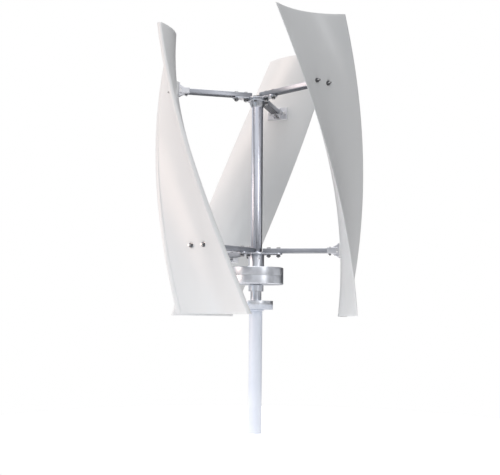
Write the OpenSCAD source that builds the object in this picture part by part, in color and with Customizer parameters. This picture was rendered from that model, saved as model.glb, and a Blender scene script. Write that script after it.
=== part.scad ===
// Small helical vertical axis wind turbine: three twisted scoop blades on arms,
// turning on a flat disc generator that is flanged to the top of a pole.
// Millimetres, +Z up, origin at the centre of the pole's lower end.

/* [Mast] */
// Outside diameter of the pole
pole_d = 48.3; // [42:0.1:60]
// Wall of the pole
pole_wall = 3.2; // [2:0.1:4]
// Height of the joint between the two flanges
flange_joint_z = 463; // [250:1:900]
// Diameter of both flanges
flange_d = 125; // [115:1:160]
// Thickness of the flange that is welded to the pole
mast_flange_t = 17; // [15:1:25]
// Thickness of the flange under the generator
base_flange_t = 14; // [12:1:20]
// Circle on which the flange screws lie
flange_pcd = 94; // [84:1:100]
// Number of flange screws
flange_screw_n = 6; // [3:1:8]

/* [Generator] */
// Outside diameter of the generator housing
housing_d = 200; // [192:1:240]
// Height of the two closed housing halves together
housing_h = 61; // [58:1:80]
// Side wall of the housing
housing_wall = 9; // [8:0.5:12]
// Floor and ceiling of the housing
housing_floor = 5; // [4:0.5:8]
// Height of the neck between the base flange and the boss
neck_h = 35; // [20:1:80]
// Diameter of that neck
neck_d = 40; // [34:1:44]
// Diameter of the boss under the generator
boss_d = 55; // [46:1:80]
// Height of the boss under the generator
boss_h = 23; // [10:1:40]
// Outside diameter of the drive neck above the generator
drive_neck_d = 58; // [58:0.5:70]
// Height of the drive neck above the generator
drive_neck_h = 48; // [40:1:90]
// Number of magnets on each side of the stator
magnet_n = 12; // [8:2:14]
// Number of coils in the stator
coil_n = 9; // [6:3:9]
// Thickness of the stator disc
stator_t = 16; // [10:0.5:17]
// Air gap on each side of the stator
air_gap = 3.5; // [1:0.5:4]

/* [Rotor] */
// Outside diameter of the rotor shaft
shaft_d = 42.4; // [42:0.1:42.6]
// Wall of the rotor shaft
shaft_wall = 3; // [2:0.1:4]
// Thickness of both hub plates
hub_plate_t = 6; // [4:0.5:12]
// Radius of the round middle of a hub plate
hub_plate_r = 43; // [42:1:60]
// Distance from the axis to the round centre of a lug
lug_r = 78; // [74:1:90]
// Width of a lug
lug_w = 36; // [30:1:40]
// Width of an arm
arm_w = 36; // [34:1:40]
// Thickness of an arm
arm_t = 16; // [14:1:20]
// Distance from the axis to the inner end of an arm
arm_start_r = 26; // [25:1:30]
// Distance from the axis to an arm's inner bolt
arm_inner_bolt_r = 46; // [44:0.5:56]
// Distance from the axis to an arm's outer bolt
arm_outer_bolt_r = 82; // [74:0.5:84]
// Distance from each blade end to the middle of the arms there
arm_inset = 236; // [150:1:350]

/* [Blades] */
// Height of a blade
blade_h = 1050; // [700:1:1300]
// Straight width of a blade from tail edge to nose edge
blade_chord = 268; // [200:1:300]
// Depth of the scoop
blade_scoop = 40; // [30:1:50]
// Angle through which a blade turns over its height
blade_twist = 65.7; // [20:0.1:90]
// Distance from the axis to the middle of the chord
blade_r = 359; // [280:1:420]
// Turn of the chord that sets the nose edge further out
blade_toe = 2.7; // [0:0.1:5]
// Thickness at the tail edge
tail_t = 4; // [3:0.5:6]
// Thickness at the nose edge
nose_t = 18; // [14:0.5:24]
// Direction of the first blade's middle at its upper end, as the rotor is parked
blade_top_az = -60; // [-90:1:90]

/* [Brackets] */
// Distance of each blade bolt from the middle of its bracket
blade_bolt_y = 29; // [28:0.5:34]
// Width of the flange that carries a blade
bracket_w = 80; // [78:1:100]
// Height of the flange that carries a blade
bracket_h = 48; // [40:1:60]
// Thickness of that flange
bracket_t = 5; // [4:0.5:8]
// Length of the socket that holds an arm
socket_len = 40; // [30:1:60]
// Wall of the socket
socket_wall = 2.5; // [2:0.5:3]

/* [Fits] */
// Radial gap where a tube or a plate slides over another piece
slide_gap = 0.1; // [0.05:0.01:0.2]
// Radial gap of a running fit
run_gap = 0.05; // [0.02:0.01:0.1]
// Radial gap of a bolt in its hole
bolt_gap = 0.25; // [0.1:0.05:0.5]
// Radial gap of a screw in its thread
thread_gap = 0.05; // [0.02:0.01:0.1]
// Gap between the fixed boss and the turning housing
boss_gap = 2; // [1:0.5:4]

/* [Hidden] */
$fn = 64;
cut = 1;
blade_n = 3;
blade_step = 360 / blade_n;

// Metric fasteners: [thread radius, head or nut width across flats, head height]
M4 = [2, 7, 4];
M5 = [2.5, 8, 3.5];
M6 = [3, 10, 4];
M8 = [4, 13, 5.3];
washer_t = 1.6;
nut_ratio = 1.6;
thread_end = 3;

function across_corners(width) = width / cos(30);

// Heights of the fixed pieces
pole_top_z = flange_joint_z - 2;
mast_flange_z = flange_joint_z - mast_flange_t;
weld_leg = 6;
pole_end_r = pole_d / 2 - 0.5;
pole_end_z = mast_flange_z - weld_leg - 2;
neck_z = flange_joint_z + base_flange_t;
boss_z = neck_z + neck_h;
boss_top_z = boss_z + boss_h;
housing_z = boss_top_z + boss_gap;
housing_top_z = housing_z + housing_h;
seam_z = housing_z + housing_h / 2;

// Ball bearings, one in each housing half
bearing_bore_r = 15;
bearing_r = 27.5;
bearing_w = 13;
bearing_lip = 2;
ball_r = 3.57;
ball_n = 12;
ball_pitch_r = (bearing_bore_r + bearing_r) / 2;
inner_ring_r = ball_pitch_r - 2.3;
outer_ring_r = ball_pitch_r + 2.2;
bearing_z = [housing_z + bearing_lip, housing_top_z - bearing_lip - bearing_w];
bearing_hub_r = bearing_r + 6.5;
bearing_hub_depth = bearing_lip + bearing_w + 2;

// Axle above the boss
step_r = 18;
axle_bore_r = 6;
axle_thread_r = 13.5;
axle_socket = 12;
axle_thread = 12;
journal_top_z = bearing_z[1] + bearing_w;
axle_top_z = journal_top_z + axle_thread;
nut_washer_t = 1.5;
axle_nut_r = 20;
axle_nut_t = 9;
nut_chamber_r = axle_nut_r + 0.6;
nut_chamber_top_z = axle_top_z + 4;
lead_hole_r = 3;

// Generator inside
cavity_r = housing_d / 2 - housing_wall;
back_iron_t = 5;
back_iron_r = cavity_r - 1.5;
back_iron_bore_r = bearing_hub_r + 1;
magnet_t = (housing_h - stator_t) / 2 - air_gap - housing_floor - back_iron_t;
magnet_r = 13;
magnet_pitch_r = cavity_r - 26;
stator_r = cavity_r - 3;
stator_bore_r = 21;
coil_r = 19;
coil_hole_r = 7;
coil_pitch_r = magnet_pitch_r;
coil_skin = 1.5;
hub_sleeve_r = 20.5;
hub_flange_r = 34;
hub_flange_t = 4;
stator_screw_n = 6;
stator_screw_r = 29;
stator_z = seam_z - stator_t / 2;

// Housing edge, seam and screws
edge_chamfer = 2;
gasket_t = 0.6;
housing_counterbore = 6;
housing_thread = 17;
seal_w = 5;
housing_screw_n = 8;
housing_screw_pcd_r = housing_d / 2 - housing_wall / 2;
half_h = housing_h / 2 - gasket_t / 2;

// Drive neck and shaft
drive_top_z = housing_top_z + drive_neck_h;
shaft_r = shaft_d / 2;
drive_bore_r = shaft_r + slide_gap;
hub_screw_pcd_r = (drive_bore_r + drive_neck_d / 2) / 2;
hub_screw_thread = 12;
set_screw_r = 3;
set_screw_len = 6;
set_screw_z = drive_top_z - 16;

// Heights and directions of the arms, which set the blades' height
lower_arm_z = drive_top_z + hub_plate_t + arm_t / 2;
blade_z = lower_arm_z - arm_inset;
blade_top_z = blade_z + blade_h;
upper_arm_z = blade_top_z - arm_inset;
lower_plate_z = drive_top_z;
upper_plate_z = upper_arm_z - arm_t / 2 - hub_plate_t;
function blade_az(z) = blade_top_az + blade_twist * (blade_top_z - z) / blade_h;
lower_az = blade_az(lower_arm_z);
upper_az = blade_az(upper_arm_z);
arm_bolt_r = [arm_inner_bolt_r, arm_outer_bolt_r];

// Collar under the upper hub plate
collar_flange_t = 7;
collar_r = 27;
collar_h = 14;
collar_cone_h = 8;
collar_bolt_r = collar_r + across_corners(M6[1]) / 2 + 0.4;
collar_flange_r = collar_bolt_r + 5;
shaft_top_z = upper_plate_z + hub_plate_t + 4;

// Blade section, x outwards and y from tail edge to nose edge
section_n = 14;
nose_round = 5;
rim_w = 13;
rim_h = 1.5;
blade_slices = 36;
mid_t = (tail_t + nose_t) / 2;
pad_rise = 1.5;
pad_depth = 9;
pad_margin = 2;
pad_face_r = blade_r - blade_scoop - mid_t - pad_rise;
spot_r = 10;
spot_face_r = blade_r - blade_scoop - 0.3;
spot_cut = 40;

// Bracket
socket_w = arm_w + 2 * slide_gap + 2 * socket_wall;
socket_h = arm_t + 2 * slide_gap + 2 * socket_wall;
bracket_face_r = pad_face_r;
socket_end_r = bracket_face_r - bracket_t;
socket_start_r = socket_end_r - socket_len;
socket_back = 4;
arm_end_r = socket_end_r - socket_back;
socket_bolt_r = [socket_start_r + 9, socket_end_r - 13];
gusset_len = 24;
gusset_t = 4;
gusset_y = 13;

steel = [0.78, 0.79, 0.81];
aluminium = [0.72, 0.74, 0.78];
blade_white = [0.95, 0.95, 0.95];

// Plain helpers
module ring(r, hole_r, h) {
    difference() {
        cylinder(r = r, h = h);
        translate([0, 0, -cut]) cylinder(r = hole_r, h = h + 2 * cut);
    }
}

module around(count, radius, start = 0) {
    for (i = [0 : count - 1]) rotate([0, 0, start + i * 360 / count]) translate([radius, 0, 0]) children();
}

module hex_body(width, h) { cylinder(d = across_corners(width), h = h, $fn = 6); }

// Bolt with its head's underside at z = 0, the shank going down
module hex_bolt(size, length) {
    hex_body(size[1], size[2]);
    translate([0, 0, -length]) cylinder(r = size[0], h = length);
}

// Nut with its top at z = 0
module hex_nut(size) {
    nut_h = size[0] * nut_ratio;
    translate([0, 0, -nut_h]) difference() {
        hex_body(size[1], nut_h);
        translate([0, 0, -cut]) cylinder(r = size[0] + thread_gap, h = nut_h + 2 * cut);
    }
}

// Flat washer with its top at z = 0
module flat_washer(size) {
    translate([0, 0, -washer_t]) ring(size[0] * 2, size[0] + bolt_gap, washer_t);
}

// Socket head screw with its head's underside at z = 0, the shank going up
module cap_screw(size, length) {
    difference() {
        translate([0, 0, -2 * size[0]]) cylinder(d = size[1], h = 2 * size[0]);
        translate([0, 0, -2 * size[0] - cut]) hex_body(size[0] * 1.6, size[0] + cut);
    }
    cylinder(r = size[0], h = length);
}

// Mast
module mast_pole() {
    // its upper end is turned down to take the flange
    color([0.83, 0.86, 0.9]) difference() {
        union() {
            cylinder(d = pole_d, h = pole_end_z);
            cylinder(r = pole_end_r, h = pole_top_z);
        }
        translate([0, 0, -cut]) cylinder(r = pole_d / 2 - pole_wall, h = pole_top_z + 2 * cut);
    }
}

flange_counterbore = 2 * M8[0] + 1;
module mast_flange() {
    weld_r = pole_end_r + slide_gap;
    color([0.83, 0.86, 0.9]) difference() {
        union() {
            translate([0, 0, mast_flange_z]) cylinder(d = flange_d, h = mast_flange_t);
            translate([0, 0, mast_flange_z - weld_leg])
                cylinder(r1 = weld_r + 0.5, r2 = weld_r + weld_leg, h = weld_leg);
        }
        translate([0, 0, mast_flange_z - weld_leg - cut])
            cylinder(r = weld_r, h = pole_top_z - mast_flange_z + weld_leg + cut);
        translate([0, 0, mast_flange_z]) cylinder(r = axle_bore_r + 4, h = mast_flange_t + cut);
        around(flange_screw_n, flange_pcd / 2) translate([0, 0, mast_flange_z - cut]) {
            cylinder(r = M8[0] + bolt_gap, h = mast_flange_t + 2 * cut);
            cylinder(d = M8[1] + 1, h = flange_counterbore + cut);
        }
    }
}

module base_flange() {
    color(aluminium) translate([0, 0, flange_joint_z]) difference() {
        cylinder(d = flange_d, h = base_flange_t);
        translate([0, 0, -cut]) cylinder(r = axle_bore_r + 4, h = base_flange_t + 2 * cut);
        translate([0, 0, base_flange_t - axle_socket])
            cylinder(r = neck_d / 2 + slide_gap, h = axle_socket + cut);
        around(flange_screw_n, flange_pcd / 2) translate([0, 0, -cut])
            cylinder(r = M8[0] + thread_gap, h = base_flange_t + 2 * cut);
    }
}

module flange_screws() {
    color(steel) around(flange_screw_n, flange_pcd / 2)
        translate([0, 0, mast_flange_z + flange_counterbore])
            cap_screw(M8, mast_flange_t - flange_counterbore + base_flange_t - 1);
}

// Fixed inside of the generator
module stator_axle() {
    color(aluminium) difference() {
        union() {
            translate([0, 0, neck_z - axle_socket]) cylinder(d = neck_d, h = axle_socket + neck_h);
            translate([0, 0, boss_z]) cylinder(d = boss_d, h = boss_h);
            translate([0, 0, boss_top_z]) cylinder(r = step_r, h = boss_gap + bearing_lip);
            translate([0, 0, bearing_z[0]]) cylinder(r = bearing_bore_r, h = journal_top_z - bearing_z[0]);
            translate([0, 0, journal_top_z]) cylinder(r = axle_thread_r, h = axle_top_z - journal_top_z);
        }
        translate([0, 0, neck_z - axle_socket - cut])
            cylinder(r = axle_bore_r, h = axle_top_z - neck_z + axle_socket + 2 * cut);
        translate([0, 0, seam_z]) rotate([0, 90, 0]) cylinder(r = lead_hole_r, h = bearing_bore_r + cut);
    }
}

stator_clamp_z = stator_z - hub_flange_t;
module stator_hub() {
    sleeve_z = bearing_z[0] + bearing_w;
    sleeve_h = bearing_z[1] - sleeve_z;
    color(aluminium) difference() {
        union() {
            translate([0, 0, sleeve_z]) cylinder(r = inner_ring_r, h = sleeve_h);
            translate([0, 0, stator_clamp_z]) cylinder(r = hub_sleeve_r, h = stator_t + hub_flange_t);
            translate([0, 0, stator_clamp_z]) cylinder(r = hub_flange_r, h = hub_flange_t);
        }
        translate([0, 0, sleeve_z - cut]) cylinder(r = bearing_bore_r, h = sleeve_h + 2 * cut);
        translate([0, 0, seam_z]) rotate([0, 90, 0]) cylinder(r = lead_hole_r, h = hub_flange_r);
        around(stator_screw_n, stator_screw_r, 30) translate([0, 0, stator_clamp_z - cut])
            cylinder(r = M4[0] + thread_gap, h = hub_flange_t + 2 * cut);
    }
}

module coil_place() { around(coil_n, coil_pitch_r) translate([0, 0, stator_z + coil_skin]) children(); }

module stator_disc() {
    color([0.2, 0.45, 0.3]) difference() {
        translate([0, 0, stator_z]) ring(stator_r, stator_bore_r, stator_t);
        coil_place() ring(coil_r, coil_hole_r, stator_t - 2 * coil_skin);
        around(stator_screw_n, stator_screw_r, 30) translate([0, 0, stator_z - cut])
            cylinder(r = M4[0] + bolt_gap, h = stator_t + 2 * cut);
    }
}

coil_fit = 0.2;
module stator_coils() {
    color([0.72, 0.4, 0.2]) coil_place() translate([0, 0, coil_fit])
        ring(coil_r - coil_fit, coil_hole_r + coil_fit, stator_t - 2 * coil_skin - 2 * coil_fit);
}

module stator_screws() {
    color(steel) around(stator_screw_n, stator_screw_r, 30) translate([0, 0, stator_z + stator_t])
        hex_bolt([M4[0], M4[1], 2.5], stator_t + hub_flange_t);
}

// Ball bearings
module race_groove(z) {
    groove_r = ball_r + run_gap;
    translate([0, 0, z + bearing_w / 2]) rotate_extrude() translate([ball_pitch_r, 0]) circle(r = groove_r);
}

module bearing_inner(z) {
    color(steel) difference() {
        translate([0, 0, z]) ring(inner_ring_r, bearing_bore_r, bearing_w);
        race_groove(z);
    }
}

module bearing_outer(z) {
    color(steel) difference() {
        translate([0, 0, z]) ring(bearing_r, outer_ring_r, bearing_w);
        race_groove(z);
    }
}

module bearing_balls(z) {
    cage_h = 9.6;
    cage_r = ball_pitch_r + 0.9;
    cage_bore_r = ball_pitch_r - 0.9;
    color(steel) translate([0, 0, z + bearing_w / 2]) around(ball_n, ball_pitch_r) sphere(r = ball_r);
    color([0.7, 0.55, 0.3]) translate([0, 0, z + bearing_w / 2]) difference() {
        translate([0, 0, -cage_h / 2]) ring(cage_r, cage_bore_r, cage_h);
        around(ball_n, ball_pitch_r) rotate([0, 90, 0])
            cylinder(r = ball_r + run_gap, h = 2 * (cage_r - cage_bore_r), center = true);
    }
}

module lower_bearing_inner() { bearing_inner(bearing_z[0]); }
module upper_bearing_inner() { bearing_inner(bearing_z[1]); }
module lower_bearing_outer() { bearing_outer(bearing_z[0]); }
module upper_bearing_outer() { bearing_outer(bearing_z[1]); }
module lower_bearing_balls() { bearing_balls(bearing_z[0]); }
module upper_bearing_balls() { bearing_balls(bearing_z[1]); }

module axle_washer() {
    washer_r = inner_ring_r - 0.5;
    color(steel) translate([0, 0, journal_top_z]) ring(washer_r, axle_thread_r + thread_gap, nut_washer_t);
}

module axle_nut() {
    slot_w = 5;
    slot_depth = 3;
    color(steel) translate([0, 0, journal_top_z + nut_washer_t]) difference() {
        ring(axle_nut_r, axle_thread_r + thread_gap, axle_nut_t);
        around(4, axle_nut_r - slot_depth) translate([0, -slot_w / 2, axle_nut_t / 2])
            cube([2 * slot_depth, slot_w, axle_nut_t]);
    }
}

module shaft_seal() {
    seal_t = 1.6;
    color([0.15, 0.15, 0.15]) translate([0, 0, housing_z]) ring(step_r + seal_w, step_r + run_gap, seal_t);
}

// Turning housing of the generator
module housing_screw_holes(radius, z, h) {
    around(housing_screw_n, housing_screw_pcd_r, 22.5) translate([0, 0, z]) cylinder(r = radius, h = h);
}

// One half, seen with its closed side down and its open side at z = half_h
module housing_half() {
    rim_r = housing_d / 2;
    rotate_extrude($fn = 128) difference() {
        polygon([
            [0, 0], [rim_r - edge_chamfer, 0], [rim_r, edge_chamfer], [rim_r, half_h],
            [cavity_r, half_h], [cavity_r, housing_floor], [bearing_hub_r, housing_floor],
            [bearing_hub_r, bearing_hub_depth], [0, bearing_hub_depth]
        ]);
        translate([-cut, -cut]) square([step_r + seal_w + cut, bearing_hub_depth + 2 * cut]);
        translate([0, bearing_lip]) square([bearing_r, bearing_hub_depth]);
    }
}

module lower_housing() {
    color(aluminium) translate([0, 0, housing_z]) difference() {
        housing_half();
        housing_screw_holes(M4[0] + bolt_gap, -cut, housing_h);
        housing_screw_holes(M4[1] / 2 + bolt_gap, -cut, housing_counterbore + cut);
    }
}

module upper_housing() {
    color(aluminium) difference() {
        union() {
            translate([0, 0, housing_top_z]) mirror([0, 0, 1]) housing_half();
            translate([0, 0, housing_top_z - bearing_lip])
                ring(drive_neck_d / 2, nut_chamber_r, drive_neck_h + bearing_lip);
        }
        translate([0, 0, nut_chamber_top_z])
            cylinder(r = drive_bore_r, h = drive_top_z - nut_chamber_top_z + cut);
        translate([0, 0, seam_z - cut])
            housing_screw_holes(M4[0] + thread_gap, 0, housing_thread + 2 * cut);
        around(2 * blade_n, hub_screw_pcd_r, lower_az + 30)
            translate([0, 0, drive_top_z - hub_screw_thread - 2])
                cylinder(r = M4[0] + thread_gap, h = hub_screw_thread + 2 + cut);
        around(blade_n, 0, lower_az + 60) translate([0, 0, set_screw_z]) rotate([0, 90, 0])
            cylinder(r = set_screw_r + thread_gap, h = drive_neck_d);
    }
}

module seam_gasket() {
    color([0.15, 0.15, 0.15]) translate([0, 0, seam_z - gasket_t / 2]) difference() {
        ring(housing_d / 2 - 0.5, cavity_r, gasket_t);
        housing_screw_holes(M4[0] + bolt_gap, -cut, gasket_t + 2 * cut);
    }
}

module housing_screws() {
    color(steel) translate([0, 0, housing_z + housing_counterbore])
        around(housing_screw_n, housing_screw_pcd_r, 22.5)
            cap_screw(M4, housing_h / 2 - housing_counterbore + housing_thread);
}

module back_iron(z) {
    color([0.45, 0.45, 0.47]) translate([0, 0, z]) ring(back_iron_r, back_iron_bore_r, back_iron_t);
}
module lower_back_iron() { back_iron(housing_z + housing_floor); }
module upper_back_iron() { back_iron(housing_top_z - housing_floor - back_iron_t); }

module magnets(z) {
    color([0.7, 0.7, 0.72]) around(magnet_n, magnet_pitch_r) translate([0, 0, z])
        cylinder(r = magnet_r, h = magnet_t);
}
module lower_magnets() { magnets(housing_z + housing_floor + back_iron_t); }
module upper_magnets() { magnets(housing_top_z - housing_floor - back_iron_t - magnet_t); }

// Rotor shaft and hubs
module rotor_shaft() {
    color(aluminium) translate([0, 0, nut_chamber_top_z])
        ring(shaft_r, shaft_r - shaft_wall, shaft_top_z - nut_chamber_top_z);
}

module shaft_set_screws() {
    socket_depth = 2;
    color(steel) around(blade_n, shaft_r, lower_az + 60) translate([0, 0, set_screw_z]) rotate([0, 90, 0])
        difference() {
            cylinder(r = set_screw_r, h = set_screw_len);
            translate([0, 0, set_screw_len - socket_depth]) hex_body(set_screw_r, socket_depth + cut);
        }
}

module shaft_collar() {
    flange_z = upper_plate_z - collar_flange_t;
    color(aluminium) difference() {
        union() {
            translate([0, 0, flange_z]) cylinder(r = collar_flange_r, h = collar_flange_t);
            translate([0, 0, flange_z - collar_h]) cylinder(r = collar_r, h = collar_h);
            translate([0, 0, flange_z - collar_h - collar_cone_h])
                cylinder(r1 = shaft_r + 1, r2 = collar_r, h = collar_cone_h);
        }
        translate([0, 0, flange_z - collar_h - collar_cone_h - cut])
            cylinder(r = drive_bore_r, h = collar_flange_t + collar_h + collar_cone_h + 2 * cut);
        around(blade_n, collar_bolt_r, upper_az + 60) translate([0, 0, flange_z - cut])
            cylinder(r = M6[0] + bolt_gap, h = collar_flange_t + 2 * cut);
    }
}

module shaft_cap() {
    lid_t = 3;
    plug_h = 14;
    lid_r = shaft_r + 1.5;
    lid_crown = 2;
    color([0.3, 0.3, 0.32]) translate([0, 0, shaft_top_z]) {
        translate([0, 0, -plug_h]) cylinder(r = shaft_r - shaft_wall - slide_gap, h = plug_h);
        cylinder(r = lid_r, h = lid_t);
        translate([0, 0, lid_t]) cylinder(r1 = lid_r, r2 = lid_r - 2 * lid_crown, h = lid_crown);
    }
}

// A plate with one lug for each arm, its underside at z = 0
module hub_plate(az) {
    difference() {
        linear_extrude(hub_plate_t) {
            circle(r = hub_plate_r);
            for (i = [0 : blade_n - 1]) rotate(az + i * blade_step) {
                translate([0, -lug_w / 2]) square([lug_r, lug_w]);
                translate([lug_r, 0]) circle(d = lug_w);
            }
        }
        translate([0, 0, -cut]) cylinder(r = drive_bore_r, h = hub_plate_t + 2 * cut);
        for (r = arm_bolt_r) around(blade_n, r, az) translate([0, 0, -cut])
            cylinder(r = M8[0] + bolt_gap, h = hub_plate_t + 2 * cut);
    }
}

module lower_hub_plate() {
    color(steel) difference() {
        translate([0, 0, lower_plate_z]) hub_plate(lower_az);
        around(2 * blade_n, hub_screw_pcd_r, lower_az + 30) translate([0, 0, lower_plate_z - cut])
            cylinder(r = M4[0] + bolt_gap, h = hub_plate_t + 2 * cut);
    }
}

module upper_hub_plate() {
    color(steel) difference() {
        translate([0, 0, upper_plate_z]) hub_plate(upper_az);
        around(blade_n, collar_bolt_r, upper_az + 60) translate([0, 0, upper_plate_z - cut])
            cylinder(r = M6[0] + bolt_gap, h = hub_plate_t + 2 * cut);
    }
}

module lower_hub_screws() {
    color(steel) around(2 * blade_n, hub_screw_pcd_r, lower_az + 30)
        translate([0, 0, lower_plate_z + hub_plate_t])
            mirror([0, 0, 1]) cap_screw(M4, hub_plate_t + hub_screw_thread);
}

collar_grip = hub_plate_t + collar_flange_t;
module upper_hub_bolts() {
    length = collar_grip + M6[0] * nut_ratio + thread_end;
    color(steel) around(blade_n, collar_bolt_r, upper_az + 60)
        translate([0, 0, upper_plate_z + hub_plate_t]) hex_bolt(M6, length);
}
module upper_hub_nuts() {
    color(steel) around(blade_n, collar_bolt_r, upper_az + 60)
        translate([0, 0, upper_plate_z - collar_flange_t]) hex_nut(M6);
}

// Arms: hollow flat extrusions, ribbed underneath, x across and y up in the profile
module arm_profile() {
    corner = 2;
    rib_n = 4;
    rib_depth = 1.5;
    rib_pitch = (arm_w - 4) / rib_n;
    wall = 2.4;
    difference() {
        union() {
            square([arm_w, arm_t - 2 * corner], center = true);
            square([arm_w - 2 * corner, arm_t], center = true);
            for (x = [-1, 1], y = [-1, 1])
                translate([x * (arm_w / 2 - corner), y * (arm_t / 2 - corner)]) circle(r = corner);
        }
        for (i = [0 : rib_n - 1])
            translate([(i - (rib_n - 1) / 2) * rib_pitch - rib_pitch / 4, -arm_t / 2 - cut])
                square([rib_pitch / 2, rib_depth + cut]);
        for (side = [-1, 1]) translate([side * (arm_w / 4 + wall / 4), rib_depth / 2])
            square([arm_w / 2 - 1.5 * wall, arm_t - 2 * wall - rib_depth], center = true);
    }
}

module arm(z, az) {
    color(aluminium) rotate([0, 0, az]) difference() {
        translate([arm_start_r, 0, z]) rotate([90, 0, 90])
            linear_extrude(arm_end_r - arm_start_r) arm_profile();
        for (r = arm_bolt_r) translate([r, 0, z - arm_t]) cylinder(r = M8[0] + bolt_gap, h = 2 * arm_t);
        for (r = socket_bolt_r) translate([r, 0, z - arm_t]) cylinder(r = M5[0] + bolt_gap, h = 2 * arm_t);
    }
}

module lower_arm(i) { arm(lower_arm_z, lower_az + i * blade_step); }
module upper_arm(i) { arm(upper_arm_z, upper_az + i * blade_step); }

arm_grip = hub_plate_t + arm_t + washer_t;
module arm_bolts(z, az) {
    color(steel) for (r = arm_bolt_r) around(blade_n, r, az) translate([0, 0, z + arm_t / 2])
        hex_bolt(M8, arm_grip + M8[0] * nut_ratio + thread_end);
}
module arm_nuts(z, az) {
    color(steel) for (r = arm_bolt_r) around(blade_n, r, az) translate([0, 0, z - arm_t / 2 - hub_plate_t]) {
        flat_washer(M8);
        translate([0, 0, -washer_t]) hex_nut(M8);
    }
}
module lower_arm_bolts() { arm_bolts(lower_arm_z, lower_az); }
module lower_arm_nuts() { arm_nuts(lower_arm_z, lower_az); }
module upper_arm_bolts() { arm_bolts(upper_arm_z, upper_az); }
module upper_arm_nuts() { arm_nuts(upper_arm_z, upper_az); }

// Bracket: a socket over the arm's end and an upright flange against the blade
module bracket(z, az) {
    rise = (bracket_h - socket_h) / 2;
    color([0.82, 0.83, 0.85]) rotate([0, 0, az]) translate([0, 0, z]) difference() {
        union() {
            translate([socket_end_r, -bracket_w / 2, -bracket_h / 2]) cube([bracket_t, bracket_w, bracket_h]);
            translate([socket_start_r, -socket_w / 2, -socket_h / 2]) cube([socket_len, socket_w, socket_h]);
            for (side = [-1, 1], y = [-1, 1])
                translate([0, y * gusset_y + gusset_t / 2, 0]) rotate([90, 0, 0]) linear_extrude(gusset_t)
                    polygon([
                        [socket_end_r - gusset_len, side * (socket_h / 2 - cut)],
                        [socket_end_r - gusset_len, side * socket_h / 2],
                        [socket_end_r, side * (socket_h / 2 + rise)],
                        [socket_end_r, side * (socket_h / 2 - cut)]
                    ]);
        }
        translate([socket_start_r - cut, -arm_w / 2 - slide_gap, -arm_t / 2 - slide_gap])
            cube([socket_len - socket_back + cut, arm_w + 2 * slide_gap, arm_t + 2 * slide_gap]);
        for (r = socket_bolt_r) translate([r, 0, -socket_h]) cylinder(r = M5[0] + bolt_gap, h = 2 * socket_h);
        for (y = [-1, 1]) translate([socket_end_r - cut, y * blade_bolt_y, 0]) rotate([0, 90, 0])
            cylinder(r = M8[0] + bolt_gap, h = bracket_t + 2 * cut);
    }
}

module lower_bracket(i) { bracket(lower_arm_z, lower_az + i * blade_step); }
module upper_bracket(i) { bracket(upper_arm_z, upper_az + i * blade_step); }

// Places its children at every arm's middle, turned to the arm's direction
module at_each_arm() {
    for (i = [0 : blade_n - 1]) {
        rotate([0, 0, lower_az + i * blade_step]) translate([0, 0, lower_arm_z]) children();
        rotate([0, 0, upper_az + i * blade_step]) translate([0, 0, upper_arm_z]) children();
    }
}

module bracket_bolts() {
    color(steel) at_each_arm() for (r = socket_bolt_r) translate([r, 0, socket_h / 2])
        hex_bolt(M5, socket_h + M5[0] * nut_ratio + thread_end);
}
module bracket_nuts() {
    color(steel) at_each_arm() for (r = socket_bolt_r) translate([r, 0, -socket_h / 2]) hex_nut(M5);
}

// Blades
function chord_y(t) = (t - 0.5) * blade_chord;
function scoop(t) = 4 * t * (1 - t) * blade_scoop;
function slope(t) = 4 * (1 - 2 * t) * blade_scoop / blade_chord;
function rim(t) = t * blade_chord < rim_w ? rim_h : 0;
function skin(t) = tail_t + (nose_t - tail_t) * t;
function outer_point(t) = [-scoop(t) + rim(t), chord_y(t)];
function inner_point(t) = let (s = slope(t), n = sqrt(1 + s * s))
    [-scoop(t) - skin(t) / n, chord_y(t) - skin(t) * s / n];
outer_points = concat(
    [outer_point(0), outer_point(0.99 * rim_w / blade_chord)],
    [for (i = [1 : section_n]) outer_point(i / section_n)]
);
nose_points = let (a = outer_point(1), b = inner_point(1), m = (a + b) / 2, h = (a - b) / 2,
    along = [-h[1], h[0]] / norm(h))
    [for (a = [30 : 30 : 150]) m + h * cos(a) + along * sin(a) * nose_round];
inner_points = [for (i = [section_n : -1 : 0]) inner_point(i / section_n)];

module blade_section() {
    rotate(-blade_toe) polygon(concat(outer_points, nose_points, inner_points));
}

module blade_pad(z, az) {
    pad_w = bracket_w + 2 * pad_margin;
    pad_h = bracket_h + 2 * pad_margin;
    rotate([0, 0, az]) translate([pad_face_r, -pad_w / 2, z - pad_h / 2]) cube([pad_depth, pad_w, pad_h]);
}

module blade_bolt_holes(z, az) {
    rotate([0, 0, az]) for (y = [-1, 1]) translate([0, y * blade_bolt_y, z]) rotate([0, 90, 0]) {
        translate([0, 0, pad_face_r - cut]) cylinder(r = M8[0] + bolt_gap, h = spot_cut);
        translate([0, 0, spot_face_r]) cylinder(r = spot_r, h = spot_cut);
    }
}

module blade(i) {
    turn = i * blade_step;
    color(blade_white) difference() {
        union() {
            translate([0, 0, blade_z]) rotate([0, 0, blade_az(blade_z) + turn])
                linear_extrude(height = blade_h, twist = blade_twist, slices = blade_slices)
                    translate([blade_r, 0]) blade_section();
            blade_pad(lower_arm_z, lower_az + turn);
            blade_pad(upper_arm_z, upper_az + turn);
        }
        blade_bolt_holes(lower_arm_z, lower_az + turn);
        blade_bolt_holes(upper_arm_z, upper_az + turn);
    }
}

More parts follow.
